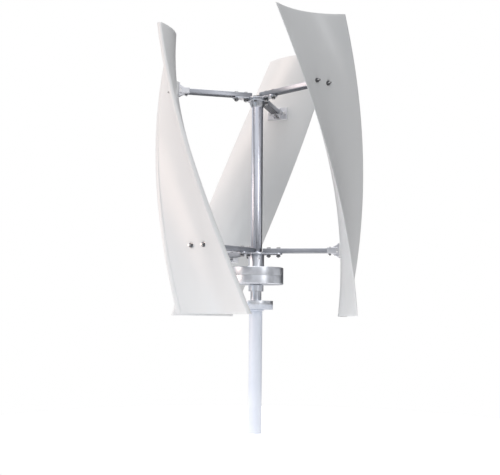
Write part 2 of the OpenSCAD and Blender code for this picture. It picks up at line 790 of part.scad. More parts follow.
// Blade fasteners lie along the arm: x = 0 is the bracket flange's inner face
blade_grip = spot_face_r - socket_end_r + washer_t;
bolt_tail = 8;
module at_blade_bolts() {
    at_each_arm() for (y = [-1, 1]) translate([0, y * blade_bolt_y, 0]) rotate([0, 90, 0]) children();
}
module blade_bolts() {
    length = blade_grip + M8[0] * nut_ratio + bolt_tail;
    color(steel) at_blade_bolts() translate([0, 0, socket_end_r]) mirror([0, 0, 1]) hex_bolt(M8, length);
}
module blade_washers() {
    color(steel) at_blade_bolts() translate([0, 0, spot_face_r + washer_t]) flat_washer(M8);
}
module blade_nuts() {
    color(steel) at_blade_bolts() translate([0, 0, spot_face_r + washer_t + M8[0] * nut_ratio]) hex_nut(M8);
}

mast_pole();
mast_flange();
base_flange();
flange_screws();
stator_axle();
stator_hub();
stator_disc();
stator_coils();
stator_screws();
lower_bearing_inner();
upper_bearing_inner();
axle_washer();
axle_nut();
lower_bearing_balls();
upper_bearing_balls();
lower_bearing_outer();
upper_bearing_outer();
shaft_seal();
lower_housing();
upper_housing();
seam_gasket();
housing_screws();
lower_back_iron();
upper_back_iron();
lower_magnets();
upper_magnets();
rotor_shaft();
shaft_set_screws();
shaft_collar();
shaft_cap();
lower_hub_plate();
upper_hub_plate();
lower_hub_screws();
upper_hub_bolts();
upper_hub_nuts();
lower_arm(0);  // lower_arm_1
lower_arm(1);  // lower_arm_2
lower_arm(2);  // lower_arm_3
upper_arm(0);  // upper_arm_1
upper_arm(1);  // upper_arm_2
upper_arm(2);  // upper_arm_3
lower_arm_bolts();
lower_arm_nuts();
upper_arm_bolts();
upper_arm_nuts();
lower_bracket(0);  // lower_bracket_1
lower_bracket(1);  // lower_bracket_2
lower_bracket(2);  // lower_bracket_3
upper_bracket(0);  // upper_bracket_1
upper_bracket(1);  // upper_bracket_2
upper_bracket(2);  // upper_bracket_3
bracket_bolts();
bracket_nuts();
blade(0);  // blade_1
blade(1);  // blade_2
blade(2);  // blade_3
blade_bolts();
blade_washers();
blade_nuts();
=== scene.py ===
"""The looks of a small helical vertical axis wind turbine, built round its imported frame.

Metres in Blender and millimetres in the sizes below, +Z up, with the origin at the centre of
the pole's lower end. Visible pieces are modelled again with soft edges and real fasteners;
the pieces inside the generator keep their frame shapes and get finishes.
"""

import logging
import math
from contextlib import contextmanager
from dataclasses import dataclass
from enum import Enum
from functools import lru_cache
from typing import Any, Callable, Iterator, Sequence

import bmesh
import bpy
from mathutils import Matrix, Vector


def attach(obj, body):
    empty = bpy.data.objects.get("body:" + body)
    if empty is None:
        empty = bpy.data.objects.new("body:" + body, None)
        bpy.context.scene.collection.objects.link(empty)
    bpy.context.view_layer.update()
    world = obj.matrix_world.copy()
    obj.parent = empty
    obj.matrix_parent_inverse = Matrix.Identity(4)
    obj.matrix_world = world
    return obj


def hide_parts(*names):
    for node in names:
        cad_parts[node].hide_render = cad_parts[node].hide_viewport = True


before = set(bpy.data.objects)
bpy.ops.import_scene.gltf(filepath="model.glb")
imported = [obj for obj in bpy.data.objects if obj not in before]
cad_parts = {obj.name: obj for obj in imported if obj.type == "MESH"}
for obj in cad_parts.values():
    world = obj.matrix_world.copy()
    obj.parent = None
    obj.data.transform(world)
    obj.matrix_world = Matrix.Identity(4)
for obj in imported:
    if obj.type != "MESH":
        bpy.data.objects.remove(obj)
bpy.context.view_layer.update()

LOG = logging.getLogger("turbine")
MM = 0.001
Piece = bpy.types.Object
Outline = Sequence[tuple[float, float]]


# ---------------------------------------------------------------- shared sizes


class Level(Enum):
    """The two heights at which arms hold the blades."""

    LOWER = "lower"
    UPPER = "upper"


class Body(Enum):
    """The bodies of the frame that visible pieces move with."""

    MAST = "mast"
    ROTOR = "rotor"


@dataclass(frozen=True)
class Layout:
    """Heights, radii and directions that several sub-assemblies share."""

    blades: int = 3
    blade_bottom: float = 424.0
    blade_height: float = 1050.0
    blade_twist: float = 65.7
    top_azimuth: float = -60.0
    lower_arm: float = 660.0
    upper_arm: float = 1238.0
    arm_thickness: float = 16.0
    plate_thickness: float = 6.0
    socket_height: float = 21.2
    bracket_end: float = 301.5
    pad_face: float = 306.5
    spot_face: float = 318.7
    washer: float = 1.6

    @property
    def half_step(self) -> float:
        """Half the angle from one blade to the next, in degrees."""
        return 180.0 / self.blades

    def arm_height(self, level: Level) -> float:
        """Height of the middle of the arms at a level."""
        return self.lower_arm if level is Level.LOWER else self.upper_arm

    def azimuth(self, height: float, blade: int = 0) -> float:
        """Direction of a blade's middle at a height.

        Args:
            height: Height above the pole's lower end.
            blade: Which blade, from 0.

        Returns:
            The direction in degrees from +X.
        """
        top = self.blade_bottom + self.blade_height
        turned = self.blade_twist * (top - height) / self.blade_height
        return self.top_azimuth + turned + 360.0 / self.blades * blade

    def arm_azimuth(self, level: Level, blade: int = 0) -> float:
        """Direction of an arm, which points at its blade's middle."""
        return self.azimuth(self.arm_height(level), blade)

    def arm_place(self, level: Level, blade: int, radius: float = 0.0) -> Matrix:
        """Place on an arm's middle line.

        Args:
            level: The arm's level.
            blade: Which blade it holds, from 0.
            radius: Distance from the axis in millimetres.

        Returns:
            The place, with x along the arm.
        """
        return around(1, radius, self.arm_azimuth(level, blade), self.arm_height(level))[0]


@dataclass(frozen=True)
class Metric:
    """A metric thread: its radius, the head's width across flats and height, and the pitch."""

    radius: float
    across: float
    head: float
    pitch: float

    @property
    def nut_height(self) -> float:
        """Height of the plain nut for this thread."""
        return self.radius * 1.6


LAYOUT = Layout()
M4 = Metric(2.0, 7.0, 4.0, 0.7)
M5 = Metric(2.5, 8.0, 3.5, 0.8)
M6 = Metric(3.0, 10.0, 4.0, 1.0)
M8 = Metric(4.0, 13.0, 5.3, 1.25)
# How much wider than its bolt the radius of a through hole or a washer is.
CLEARANCE = 0.25
# How far past a surface a cutting tool reaches.
PAST = 1.0


# ---------------------------------------------------------------- finishes


def linear(code: str) -> tuple[float, float, float, float]:
    """Turns an sRGB hex colour into linear values.

    Args:
        code: The colour as six hex digits after a hash.

    Returns:
        Red, green, blue and alpha in linear light.
    """
    parts = [int(code[i : i + 2], 16) / 255 for i in (1, 3, 5)]
    light = [p / 12.92 if p <= 0.04045 else ((p + 0.055) / 1.055) ** 2.4 for p in parts]
    return (light[0], light[1], light[2], 1.0)


def add_node(
    tree: bpy.types.NodeTree,
    kind: str,
    settings: dict[str, Any] | None = None,
    values: dict[Any, Any] | None = None,
    links: dict[Any, bpy.types.NodeSocket] | None = None,
) -> bpy.types.Node:
    """Adds one node with its settings, fixed inputs and links.

    Args:
        tree: The node tree that it goes into.
        kind: Blender's name of the node's type.
        settings: Attributes of the node.
        values: Inputs that hold a fixed value.
        links: Inputs and the sockets that feed them.

    Returns:
        The new node.
    """
    node = tree.nodes.new(kind)
    for name, value in (settings or {}).items():
        setattr(node, name, value)
    for name, value in (values or {}).items():
        node.inputs[name].default_value = value
    for name, socket in (links or {}).items():
        tree.links.new(socket, node.inputs[name])
    return node


class Marks(Enum):
    """How a surface was made, which sets the way that its fine marks run."""

    TURNED = "rings round the axis"
    DRAWN = "long marks up the axis"
    EXTRUDED = "long marks along the piece"
    EVEN = "the same in all directions"


GRAIN = "grain"
# Marks that run one way are drawn 1 / LONG_MARK times as long as they are wide.
LONG_MARK = 0.03
# A quarter turn lays the highlight of a turned piece along its axis.
QUARTER_TURN = 0.25
# The parts of the noise that reach from one colour, or one roughness, to the other.
COLOUR_SPAN = (0.3, 0.7)
ROUGHNESS_SPAN = (0.7, 1.3)
# Clear coats in this object are all smooth.
COAT_ROUGHNESS = 0.05


@dataclass(frozen=True)
class Finish:
    """A real material and how its surface was made.

    Colours are sRGB hex. smooth and rough are the ends of its roughness, fine and coarse the
    sizes in millimetres of the small marks and the broad patches, and relief is the depth of
    the small marks.
    """

    name: str
    colour: str
    shade: str
    metallic: float = 0.0
    smooth: float = 0.3
    rough: float = 0.4
    fine: float = 2.0
    coarse: float = 40.0
    relief: float = 0.01
    marks: Marks = Marks.EVEN
    coat: float = 0.0
    anisotropy: float = 0.0

    def place(self, tree: bpy.types.NodeTree) -> bpy.types.NodeSocket:
        """Gives the coordinates that the fine marks are drawn on, in metres.

        Args:
            tree: The node tree of the material.

        Returns:
            The socket that feeds the fine noise.
        """
        own = add_node(tree, "ShaderNodeTexCoord").outputs["Object"]
        if self.marks is Marks.TURNED:
            split = add_node(tree, "ShaderNodeSeparateXYZ", links={0: own})
            level = {axis: split.outputs[axis] for axis in "XY"}
            flat = add_node(tree, "ShaderNodeCombineXYZ", links=level).outputs[0]
            out = add_node(tree, "ShaderNodeVectorMath", {"operation": "LENGTH"}, links={0: flat})
            ring = {"X": out.outputs["Value"], "Z": split.outputs["Z"]}
            return add_node(tree, "ShaderNodeCombineXYZ", links=ring).outputs[0]
        if self.marks is Marks.EVEN:
            return own
        stretch = (1.0, 1.0, LONG_MARK)
        if self.marks is Marks.EXTRUDED:
            own = add_node(tree, "ShaderNodeAttribute", {"attribute_name": GRAIN}).outputs["Vector"]
            stretch = (LONG_MARK, 1.0, 1.0)
        return add_node(
            tree, "ShaderNodeMapping", values={"Scale": stretch}, links={"Vector": own}
        ).outputs[0]

    def build(self) -> bpy.types.Material:
        """Makes the material.

        Returns:
            The material, with its colour, roughness and relief from procedural noise.
        """
        material = bpy.data.materials.new(self.name)
        material.use_nodes = True
        tree = material.node_tree
        tree.nodes.clear()
        own = add_node(tree, "ShaderNodeTexCoord").outputs["Object"]
        patches = add_node(
            tree,
            "ShaderNodeTexNoise",
            values={"Scale": 1 / (self.coarse * MM), "Detail": 3.0, "Roughness": 0.5},
            links={"Vector": own},
        ).outputs["Fac"]
        marks = add_node(
            tree,
            "ShaderNodeTexNoise",
            values={"Scale": 1 / (self.fine * MM), "Detail": 4.0, "Roughness": 0.6},
            links={"Vector": self.place(tree)},
        ).outputs["Fac"]
        both = add_node(
            tree, "ShaderNodeMath", {"operation": "ADD"}, links={0: patches, 1: marks}
        ).outputs[0]
        low, high = ROUGHNESS_SPAN
        colour = add_node(tree, "ShaderNodeValToRGB", links={"Fac": patches})
        codes = (self.shade, self.colour)
        for stop, position, code in zip(colour.color_ramp.elements, COLOUR_SPAN, codes):
            stop.position, stop.color = position, linear(code)
        roughness = add_node(
            tree,
            "ShaderNodeMapRange",
            values={"From Min": low, "From Max": high, "To Min": self.smooth, "To Max": self.rough},
            links={"Value": both},
        ).outputs["Result"]
        relief = add_node(
            tree,
            "ShaderNodeBump",
            values={"Strength": 1.0, "Distance": self.relief * MM},
            links={"Height": marks},
        ).outputs["Normal"]
        shader = add_node(
            tree,
            "ShaderNodeBsdfPrincipled",
            values={
                "Metallic": self.metallic,
                "Coat Weight": self.coat,
                "Coat Roughness": COAT_ROUGHNESS,
                "Anisotropic": self.anisotropy,
                "Anisotropic Rotation": QUARTER_TURN if self.anisotropy else 0.0,
            },
            links={
                "Base Color": colour.outputs["Color"], "Roughness": roughness, "Normal": relief
            },
        )
        if self.anisotropy:
            way = {"direction_type": "RADIAL", "axis": "Z"}
            tangent = add_node(tree, "ShaderNodeTangent", way)
            tree.links.new(tangent.outputs[0], shader.inputs["Tangent"])
        add_node(tree, "ShaderNodeOutputMaterial", links={"Surface": shader.outputs[0]})
        return material


@lru_cache(maxsize=None)
def material_of(finish: Finish) -> bpy.types.Material:
    """Gives the one material of a finish, made the first time that it is asked for."""
    return finish.build()


# Polyester gelcoat sprayed in a mould: an even white with a soft shine and a very shallow wave.
GELCOAT = Finish("gelcoat_sprayed", "#E5E6E6", "#E3E4E4", 0.0, 0.29, 0.31, 22.0, 180.0, 0.002)
# Glass fibre laminate where the blade was trimmed by saw: matt grey with fibre layers.
LAMINATE = Finish("laminate_sawn", "#A3A3A0", "#8F8F8C", 0.0, 0.6, 0.75, 1.5, 12.0, 0.08)
# Cast aluminium turned on a lathe: satin rings. Real rings are 0.2 mm apart, drawn 2.5 mm.
TURNED_ALUMINIUM = Finish(
    "aluminium_turned", "#DFE2E8", "#D8DBE1", 1.0, 0.36, 0.44, 2.5, 110.0, 0.006,
    Marks.TURNED, anisotropy=0.6,
)
# Drawn aluminium tube, anodised: cool satin with faint lines up the tube.
ANODISED_TUBE = Finish(
    "aluminium_anodised_tube", "#E2E5EE", "#D8DBE5", 1.0, 0.26, 0.32, 1.5, 90.0, 0.008,
    Marks.DRAWN,
)
# Extruded aluminium as it leaves the die: duller, with die lines along the arm.
EXTRUDED_ALUMINIUM = Finish(
    "aluminium_extruded", "#B9BCC3", "#A9ACB4", 1.0, 0.34, 0.48, 1.2, 50.0, 0.02, Marks.EXTRUDED,
)
# Painted shade in the grooves: a nearly black aluminium that stands in for the shade deep in them.
GROOVE_PAINTED_SHADE = Finish(
    "aluminium_groove_painted_shade", "#2B2B2D", "#1E1E20", 0.3, 0.7, 0.85, 1.2, 30.0, 0.03,
    Marks.EXTRUDED,
)
# Die-cast aluminium, bead blasted: even fine grain.
CAST_ALUMINIUM = Finish("aluminium_cast", "#E0E1E5", "#D4D5DA", 1.0, 0.42, 0.55, 1.0, 25.0, 0.05)
# Steel sheet with bright zinc plating: a cool mottle.
ZINC_PLATE = Finish("steel_zinc_plated", "#DDDFE5", "#CBCED6", 1.0, 0.2, 0.36, 3.0, 18.0, 0.01)
# Cold formed stainless steel: bright, slightly warm.
STAINLESS = Finish("stainless_formed", "#D8D7D6", "#C4C4C4", 1.0, 0.18, 0.32, 0.8, 9.0, 0.008)
# Stainless nuts painted duller and darker than the bolts: painted shade that stands in for the dark
# reflections in them.
NUT_PAINTED_DARK = Finish("stainless_nut_painted_shade", "#7E7F82", "#6A6B6E", 1.0, 0.3, 0.42, 0.8, 9.0, 0.01)
# Steel pipe with polyester powder coat: pale blue-grey with fine orange peel.
POWDER_COAT = Finish(
    "powder_coat", "#DEE3EC", "#D6DCE7", 0.0, 0.3, 0.42, 1.8, 120.0, 0.03, coat=0.15
)
# Bearing rings and balls, ground: the brightest metal here.
BEARING_STEEL = Finish(
    "bearing_steel_ground", "#BEBFC2", "#ACADB1", 1.0, 0.12, 0.22, 1.0, 20.0, 0.004
)
# Rolled mild steel plate, oiled: dull dark grey.
MILD_STEEL = Finish("mild_steel_plate", "#8A8A8C", "#737376", 1.0, 0.4, 0.55, 2.0, 20.0, 0.02)
# Sintered magnets with nickel plating: warm silver.
NICKEL = Finish("magnet_nickel_plated", "#C9C7C2", "#B9B7B2", 1.0, 0.14, 0.24, 1.5, 12.0, 0.006)
# Cast epoxy resin with a green pigment: soft gloss.
RESIN = Finish("resin_cast", "#2F5A41", "#284E38", 0.0, 0.3, 0.45, 3.0, 30.0, 0.02, coat=0.2)
# Copper wire with clear enamel, wound: warm with fine ridges.
COPPER = Finish("copper_enamelled", "#B4693C", "#A05A32", 1.0, 0.25, 0.4, 0.9, 8.0, 0.05)
# Moulded nitrile rubber: matt black.
RUBBER = Finish("rubber_moulded", "#1F1F20", "#19191A", 0.0, 0.6, 0.75, 0.8, 15.0, 0.02)
# Moulded polyamide: dark grey with a fine grain.
CAP_PLASTIC = Finish("polyamide_moulded", "#55565A", "#4B4C50", 0.0, 0.42, 0.55, 0.9, 15.0, 0.03)


# ---------------------------------------------------------------- modelling by hand, in code


def select_only(piece: Piece) -> None:
    """Selects one piece and nothing else, and makes it the active one.

    Args:
        piece: The piece.
    """
    for other in bpy.context.selected_objects:
        other.select_set(False)
    piece.select_set(True)
    bpy.context.view_layer.objects.active = piece


@contextmanager
def editing(piece: Piece) -> Iterator[None]:
    """Opens a piece in edit mode with all of it selected, and closes it again.

    Args:
        piece: The piece.

    Returns:
        A context in which the piece is open.
    """
    select_only(piece)
    bpy.ops.object.mode_set(mode="EDIT")
    bpy.ops.mesh.select_mode(type="VERT")
    bpy.ops.mesh.select_all(action="SELECT")
    try:
        yield
    finally:
        bpy.ops.object.mode_set(mode="OBJECT")


def pick_faces(piece: Piece, wanted: Callable[[Vector, Vector], bool]) -> None:
    """Selects faces in edit mode by their place and normal.

    Args:
        piece: The piece that is open in edit mode.
        wanted: Says from a face's centre and normal whether it is selected.
    """
    bpy.ops.mesh.select_all(action="DESELECT")
    bpy.ops.mesh.select_mode(type="FACE")
    mesh = bmesh.from_edit_mesh(piece.data)
    for face in mesh.faces:
        face.select_set(wanted(face.calc_center_median(), face.normal))
    bmesh.update_edit_mesh(piece.data)


def apply_modifier(piece: Piece, kind: str, **settings: Any) -> None:
    """Adds a modifier to a piece and applies it.

    Args:
        piece: The piece that is changed.
        kind: Blender's name of the modifier's type.
        **settings: Attributes of the modifier.
    """
    select_only(piece)
    modifier = piece.modifiers.new(kind.title(), kind)
    for name, value in settings.items():
        setattr(modifier, name, value)
    bpy.ops.object.modifier_apply(modifier=modifier.name)


def close_up(piece: Piece, gap: float = 0.002) -> None:
    """Merges doubled points and points all faces outwards.

    Args:
        piece: The piece that is mended.
        gap: Points nearer than this, in millimetres, become one.
    """
    with editing(piece):
        bpy.ops.mesh.remove_doubles(threshold=gap * MM)
        bpy.ops.mesh.normals_make_consistent(inside=False)


def soften(piece: Piece, edge: float, segments: int = 2, angle: float = 32.0) -> None:
    """Rounds the sharp edges of a piece and smooths the rest.

    Args:
        piece: The piece that is rounded.
        edge: Width of the rounding in millimetres.
        segments: Faces across each rounding.
        angle: Edges that turn by more than this many degrees are sharp.
    """
    limit = math.radians(angle)
    apply_modifier(
        piece, "BEVEL", width=edge * MM, segments=segments, limit_method="ANGLE", angle_limit=limit
    )
    select_only(piece)
    bpy.ops.object.shade_smooth_by_angle(angle=limit)


def smooth_flats(piece: Piece, angle: float = 25.0) -> Piece:
    """Smooths round faces and keeps flats flat on a piece with sharp edges.

    Args:
        piece: The piece.
        angle: Edges that turn by more than this many degrees stay sharp.

    Returns:
        The same piece.
    """
    select_only(piece)
    bpy.ops.object.shade_smooth_by_angle(angle=math.radians(angle))
    return piece


def draw_outline(name: str, points: Sequence[Vector], closed: bool) -> Piece:
    """Draws a line of edges by extruding one point from place to place.

    Args:
        name: Name of the piece.
        points: The places, in millimetres.
        closed: Whether the line ends where it began.

    Returns:
        The piece, with edges only.
    """
    bpy.ops.mesh.primitive_plane_add(size=MM)
    piece = bpy.context.object
    piece.name = piece.data.name = name
    route = list(points) + ([points[0]] if closed else [])
    with editing(piece):
        bpy.ops.mesh.merge(type="CENTER")
        bpy.ops.transform.translate(value=route[0] * MM)
        for here, there in zip(route, route[1:]):
            step = {"value": (there - here) * MM}
            bpy.ops.mesh.extrude_vertices_move(TRANSFORM_OT_translate=step)
        bpy.ops.mesh.select_all(action="SELECT")
        bpy.ops.mesh.remove_doubles(threshold=1e-7)
    return piece


def turn(name: str, outline: Outline, steps: int = 144) -> Piece:
    """Turns an outline about the axis, as on a lathe.

    Args:
        name: Name of the piece.
        outline: Radius and height of each corner, in millimetres. An outline that begins and
            ends on the axis stays open there, and any other is closed.
        steps: Faces round the piece.

    Returns:
        The closed piece.
    """
    solid = outline[0][0] == 0 and outline[-1][0] == 0
    piece = draw_outline(name, [Vector((r, 0, z)) for r, z in outline], not solid)
    with editing(piece):
        bpy.ops.mesh.spin(steps=steps, angle=math.tau, center=(0, 0, 0), axis=(0, 0, 1))
    close_up(piece)
    return piece


def join(pieces: Sequence[Piece], name: str) -> Piece:
    """Joins pieces into the first of them.

    Args:
        pieces: The pieces.
        name: Name of the result.

    Returns:
        The joined piece.
    """
    select_only(pieces[0])
    for other in pieces[1:]:
        other.select_set(True)
    if len(pieces) > 1:
        bpy.ops.object.join()
    pieces[0].name = pieces[0].data.name = name
    return pieces[0]


def repeat(pattern: Piece, places: Sequence[Matrix], name: str) -> Piece:
    """Copies a piece to several places, each copy with its own mesh, and joins the copies.

    Args:
        pattern: The piece that is copied. It is used up.
        places: Where each copy goes.
        name: Name of the result.

    Returns:
        The joined copies.
    """
    copies = []
    for place in places:
        copy = pattern.copy()
        copy.data = pattern.data.copy()
        copy.data.transform(place)
        bpy.context.collection.objects.link(copy)
        copies.append(copy)
    bpy.data.objects.remove(pattern)
    return join(copies, name)


def cylinder(radius: float, bottom: float, top: float, vertices: int = 48) -> Piece:
    """Adds an upright cylinder on the axis, for cutting and shaping other pieces.

    Args:
        radius: Its radius in millimetres.
        bottom: Its lower end.
        top: Its upper end.
        vertices: Corners round it.

    Returns:
        The cylinder.
    """
    middle = (bottom + top) / 2 * MM
    bpy.ops.mesh.primitive_cylinder_add(
        vertices=vertices, radius=radius * MM, depth=(top - bottom) * MM, location=(0, 0, middle)
    )
    piece = bpy.context.object
    piece.data.transform(piece.matrix_world)
    piece.matrix_world = Matrix.Identity(4)
    return piece


def combine(piece: Piece, tool: Piece, operation: str) -> None:
    """Cuts a piece with a tool, or keeps what they share. The tool is used up.

    Args:
        piece: The piece that is changed.
        tool: The other solid.
        operation: DIFFERENCE or INTERSECT.
    """
    apply_modifier(piece, "BOOLEAN", object=tool, operation=operation, solver="EXACT")
    bpy.data.objects.remove(tool)


def drill(
    piece: Piece, radius: float, bottom: float, top: float, places: Sequence[Matrix]
) -> None:
    """Drills the same hole at several places.

    Args:
        piece: The piece that is drilled.
        radius: Radius of the hole in millimetres.
        bottom: Lower end of the hole along its own axis.
        top: Upper end of the hole along its own axis.
        places: Where each hole goes.
    """
    combine(piece, repeat(cylinder(radius, bottom, top), places, "drill"), "DIFFERENCE")


def around(count: int, radius: float, start: float = 0.0, height: float = 0.0) -> list[Matrix]:
    """Gives places on a circle about the axis, each with x pointing outwards.

    Args:
        count: How many places.
        radius: Radius of the circle in millimetres.
        start: Direction of the first place in degrees.
        height: Height of the circle in millimetres.

    Returns:
        One matrix for each place.
    """
    step = Matrix.Translation((radius * MM, 0, height * MM))
    angles = [math.radians(start + 360.0 * i / count) for i in range(count)]
    return [Matrix.Rotation(angle, 4, "Z") @ step for angle in angles]


# Turns that point a piece's z outwards or down.
OUTWARDS = Matrix.Rotation(math.pi / 2, 4, "Y")
UPSIDE_DOWN = Matrix.Rotation(math.pi, 4, "X")


def copy_of(node: str, name: str) -> Piece:
    """Copies a frame node's mesh as one clean shell with whole flat faces.

    Args:
        node: Name of the frame node.
        name: Name of the copy.

    Returns:
        The copy.
    """
    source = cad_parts[node]
    piece = bpy.data.objects.new(name, source.data.copy())
    bpy.context.collection.objects.link(piece)
    piece.data.name = name
    piece.data.materials.clear()
    with editing(piece):
        bpy.ops.mesh.customdata_custom_splitnormals_clear()
        bpy.ops.mesh.remove_doubles(threshold=0.002 * MM)
        bpy.ops.mesh.dissolve_limited(angle_limit=math.radians(0.6))
    return piece


def fit(piece: Piece, body: Body, slot: str, finish: Finish, *nodes: str) -> Piece:
    """Dresses a piece and gives it its place in the frame.

    Args:
        piece: The finished piece.
        body: The body that it moves with.
        slot: The record's material slot that it stands for. Not used.
        finish: Its finish. A piece that has materials already keeps them.
        *nodes: The frame nodes that it replaces.

    Returns:
        The piece.
    """
    if not piece.data.materials:
        piece.data.materials.append(material_of(finish))
    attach(piece, body.value)
    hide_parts(*nodes)
    LOG.info("%s: %d faces, for %s", piece.name, len(piece.data.polygons), ", ".join(nodes))
    return piece


def fit_fasteners(
    pieces: Piece, node: str, finish: Finish = STAINLESS, body: Body = Body.ROTOR
) -> Piece:
    """Dresses a set of fasteners and gives it its place in the frame.

    Args:
        pieces: The set, as one piece.
        node: The frame node that it replaces.
        finish: Its finish.
        body: The body that it moves with.

    Returns:
        The set.
    """
    return fit(pieces, body, "stainless_fastener", finish, node)


# ---------------------------------------------------------------- fasteners


@dataclass(frozen=True)
class FastenerShop:
    """Makes bolts, screws, nuts and washers of one thread, standing on z = 0.

    corner and bearing are shares of the width across flats: where a hexagon's turned corner
    begins, and the radius of the bolt's washer face. thread_depth is a share of the pitch.
    """

    size: Metric
    corner: float = 0.475
    bearing: float = 0.47
    thread_depth: float = 0.55
    washer_face: float = 0.4
    corner_angle: float = 30.0
    chamfer: float = 0.6
    proud: float = 0.1
    head: float = 2.0
    key: float = 0.92

    def hexagon(self, bottom: float, top: float, below: bool) -> Piece:
        """Makes a hexagon with turned corners.

        Args:
            bottom: Its lower end.
            top: Its upper end.
            below: Whether the lower corners are turned as well.

        Returns:
            The hexagon.
        """
        across = self.size.across
        reach = across / math.sqrt(3)
        body = cylinder(reach, bottom, top, 6)
        body.data.transform(Matrix.Rotation(math.pi / 6, 4, "Z"))
        face = across * self.corner
        beyond = reach + self.proud
        drop = (beyond - face) * math.tan(math.radians(self.corner_angle))
        low = [(face, bottom), (beyond, bottom + drop)] if below else [(beyond, bottom)]
        outline = [(0, bottom), *low, (beyond, top - drop), (face, top), (0, top)]
        combine(body, turn("chamfer", outline, 72), "INTERSECT")
        return body

    def bolt(self, length: float, thread: float) -> Piece:
        """Makes a hexagon bolt, its head up from z = 0 and its shank down.

        Args:
            length: Length of the shank.
            thread: Length of the thread at its end.

        Returns:
            The bolt.
        """
        r, pitch, face = self.size.radius, self.size.pitch, self.size.across * self.bearing
        root = r - self.thread_depth * pitch
        turns = int(thread / pitch)
        outline = [(0, -length), (root, -length)]
        for i in range(turns):
            z = -length + (i + 0.1) * pitch
            outline += [(root, z), (r, z + 0.45 * pitch), (r, z + 0.55 * pitch)]
        top = -length + turns * pitch
        outline += [(root, top + self.proud), (r, top + self.chamfer), (r, 0), (face, 0)]
        outline += [(face, self.washer_face), (0, self.washer_face)]
        shank = turn("shank", outline, 32)
        return join([shank, self.hexagon(self.washer_face, self.size.head, False)], "bolt")

    def nut(self) -> Piece:
        """Makes a nut with its top at z = 0 and its bore countersunk.

        Returns:
            The nut.
        """
        height, bore = self.size.nut_height, self.size.radius + 0.02
        body = self.hexagon(-height, 0, True)
        sink = self.chamfer
        edge = bore + sink
        cut = [(0, -height - 1), (edge + 1, -height - 1), (edge, -height), (bore, -height + sink)]
        cut += [(bore, -sink), (edge, 0), (edge + 1, 1), (0, 1)]
        combine(body, turn("countersink", cut, 32), "DIFFERENCE")
        return body

    def washer(self, thickness: float) -> Piece:
        """Makes a flat washer with its top at z = 0.

        Args:
            thickness: Its thickness.

        Returns:
            The washer.
        """
        inner, outer = self.size.radius + CLEARANCE, self.size.radius * 2
        outline = [(inner, -thickness), (outer, -thickness), (outer, 0), (inner, 0)]
        piece = turn("washer", outline, 48)
        soften(piece, 0.3)
        return piece

    def cap_screw(self, length: float) -> Piece:
        """Makes a socket screw, its head down from z = 0 and its shank up.

        Args:
            length: Length of the shank.

        Returns:
            The screw.
        """
        r, wide, c = self.size.radius, self.size.across / 2, self.chamfer
        end = -self.head * r
        outline = [(0, end), (wide, end), (wide, 0), (r, 0)]
        outline += [(r, length - c), (r - c, length), (0, length)]
        piece = turn("cap_screw", outline, 48)
        combine(piece, cylinder(r * self.key, end - 1, -r, 6), "DIFFERENCE")
        soften(piece, 0.35)
        return piece


# ---------------------------------------------------------------- mast


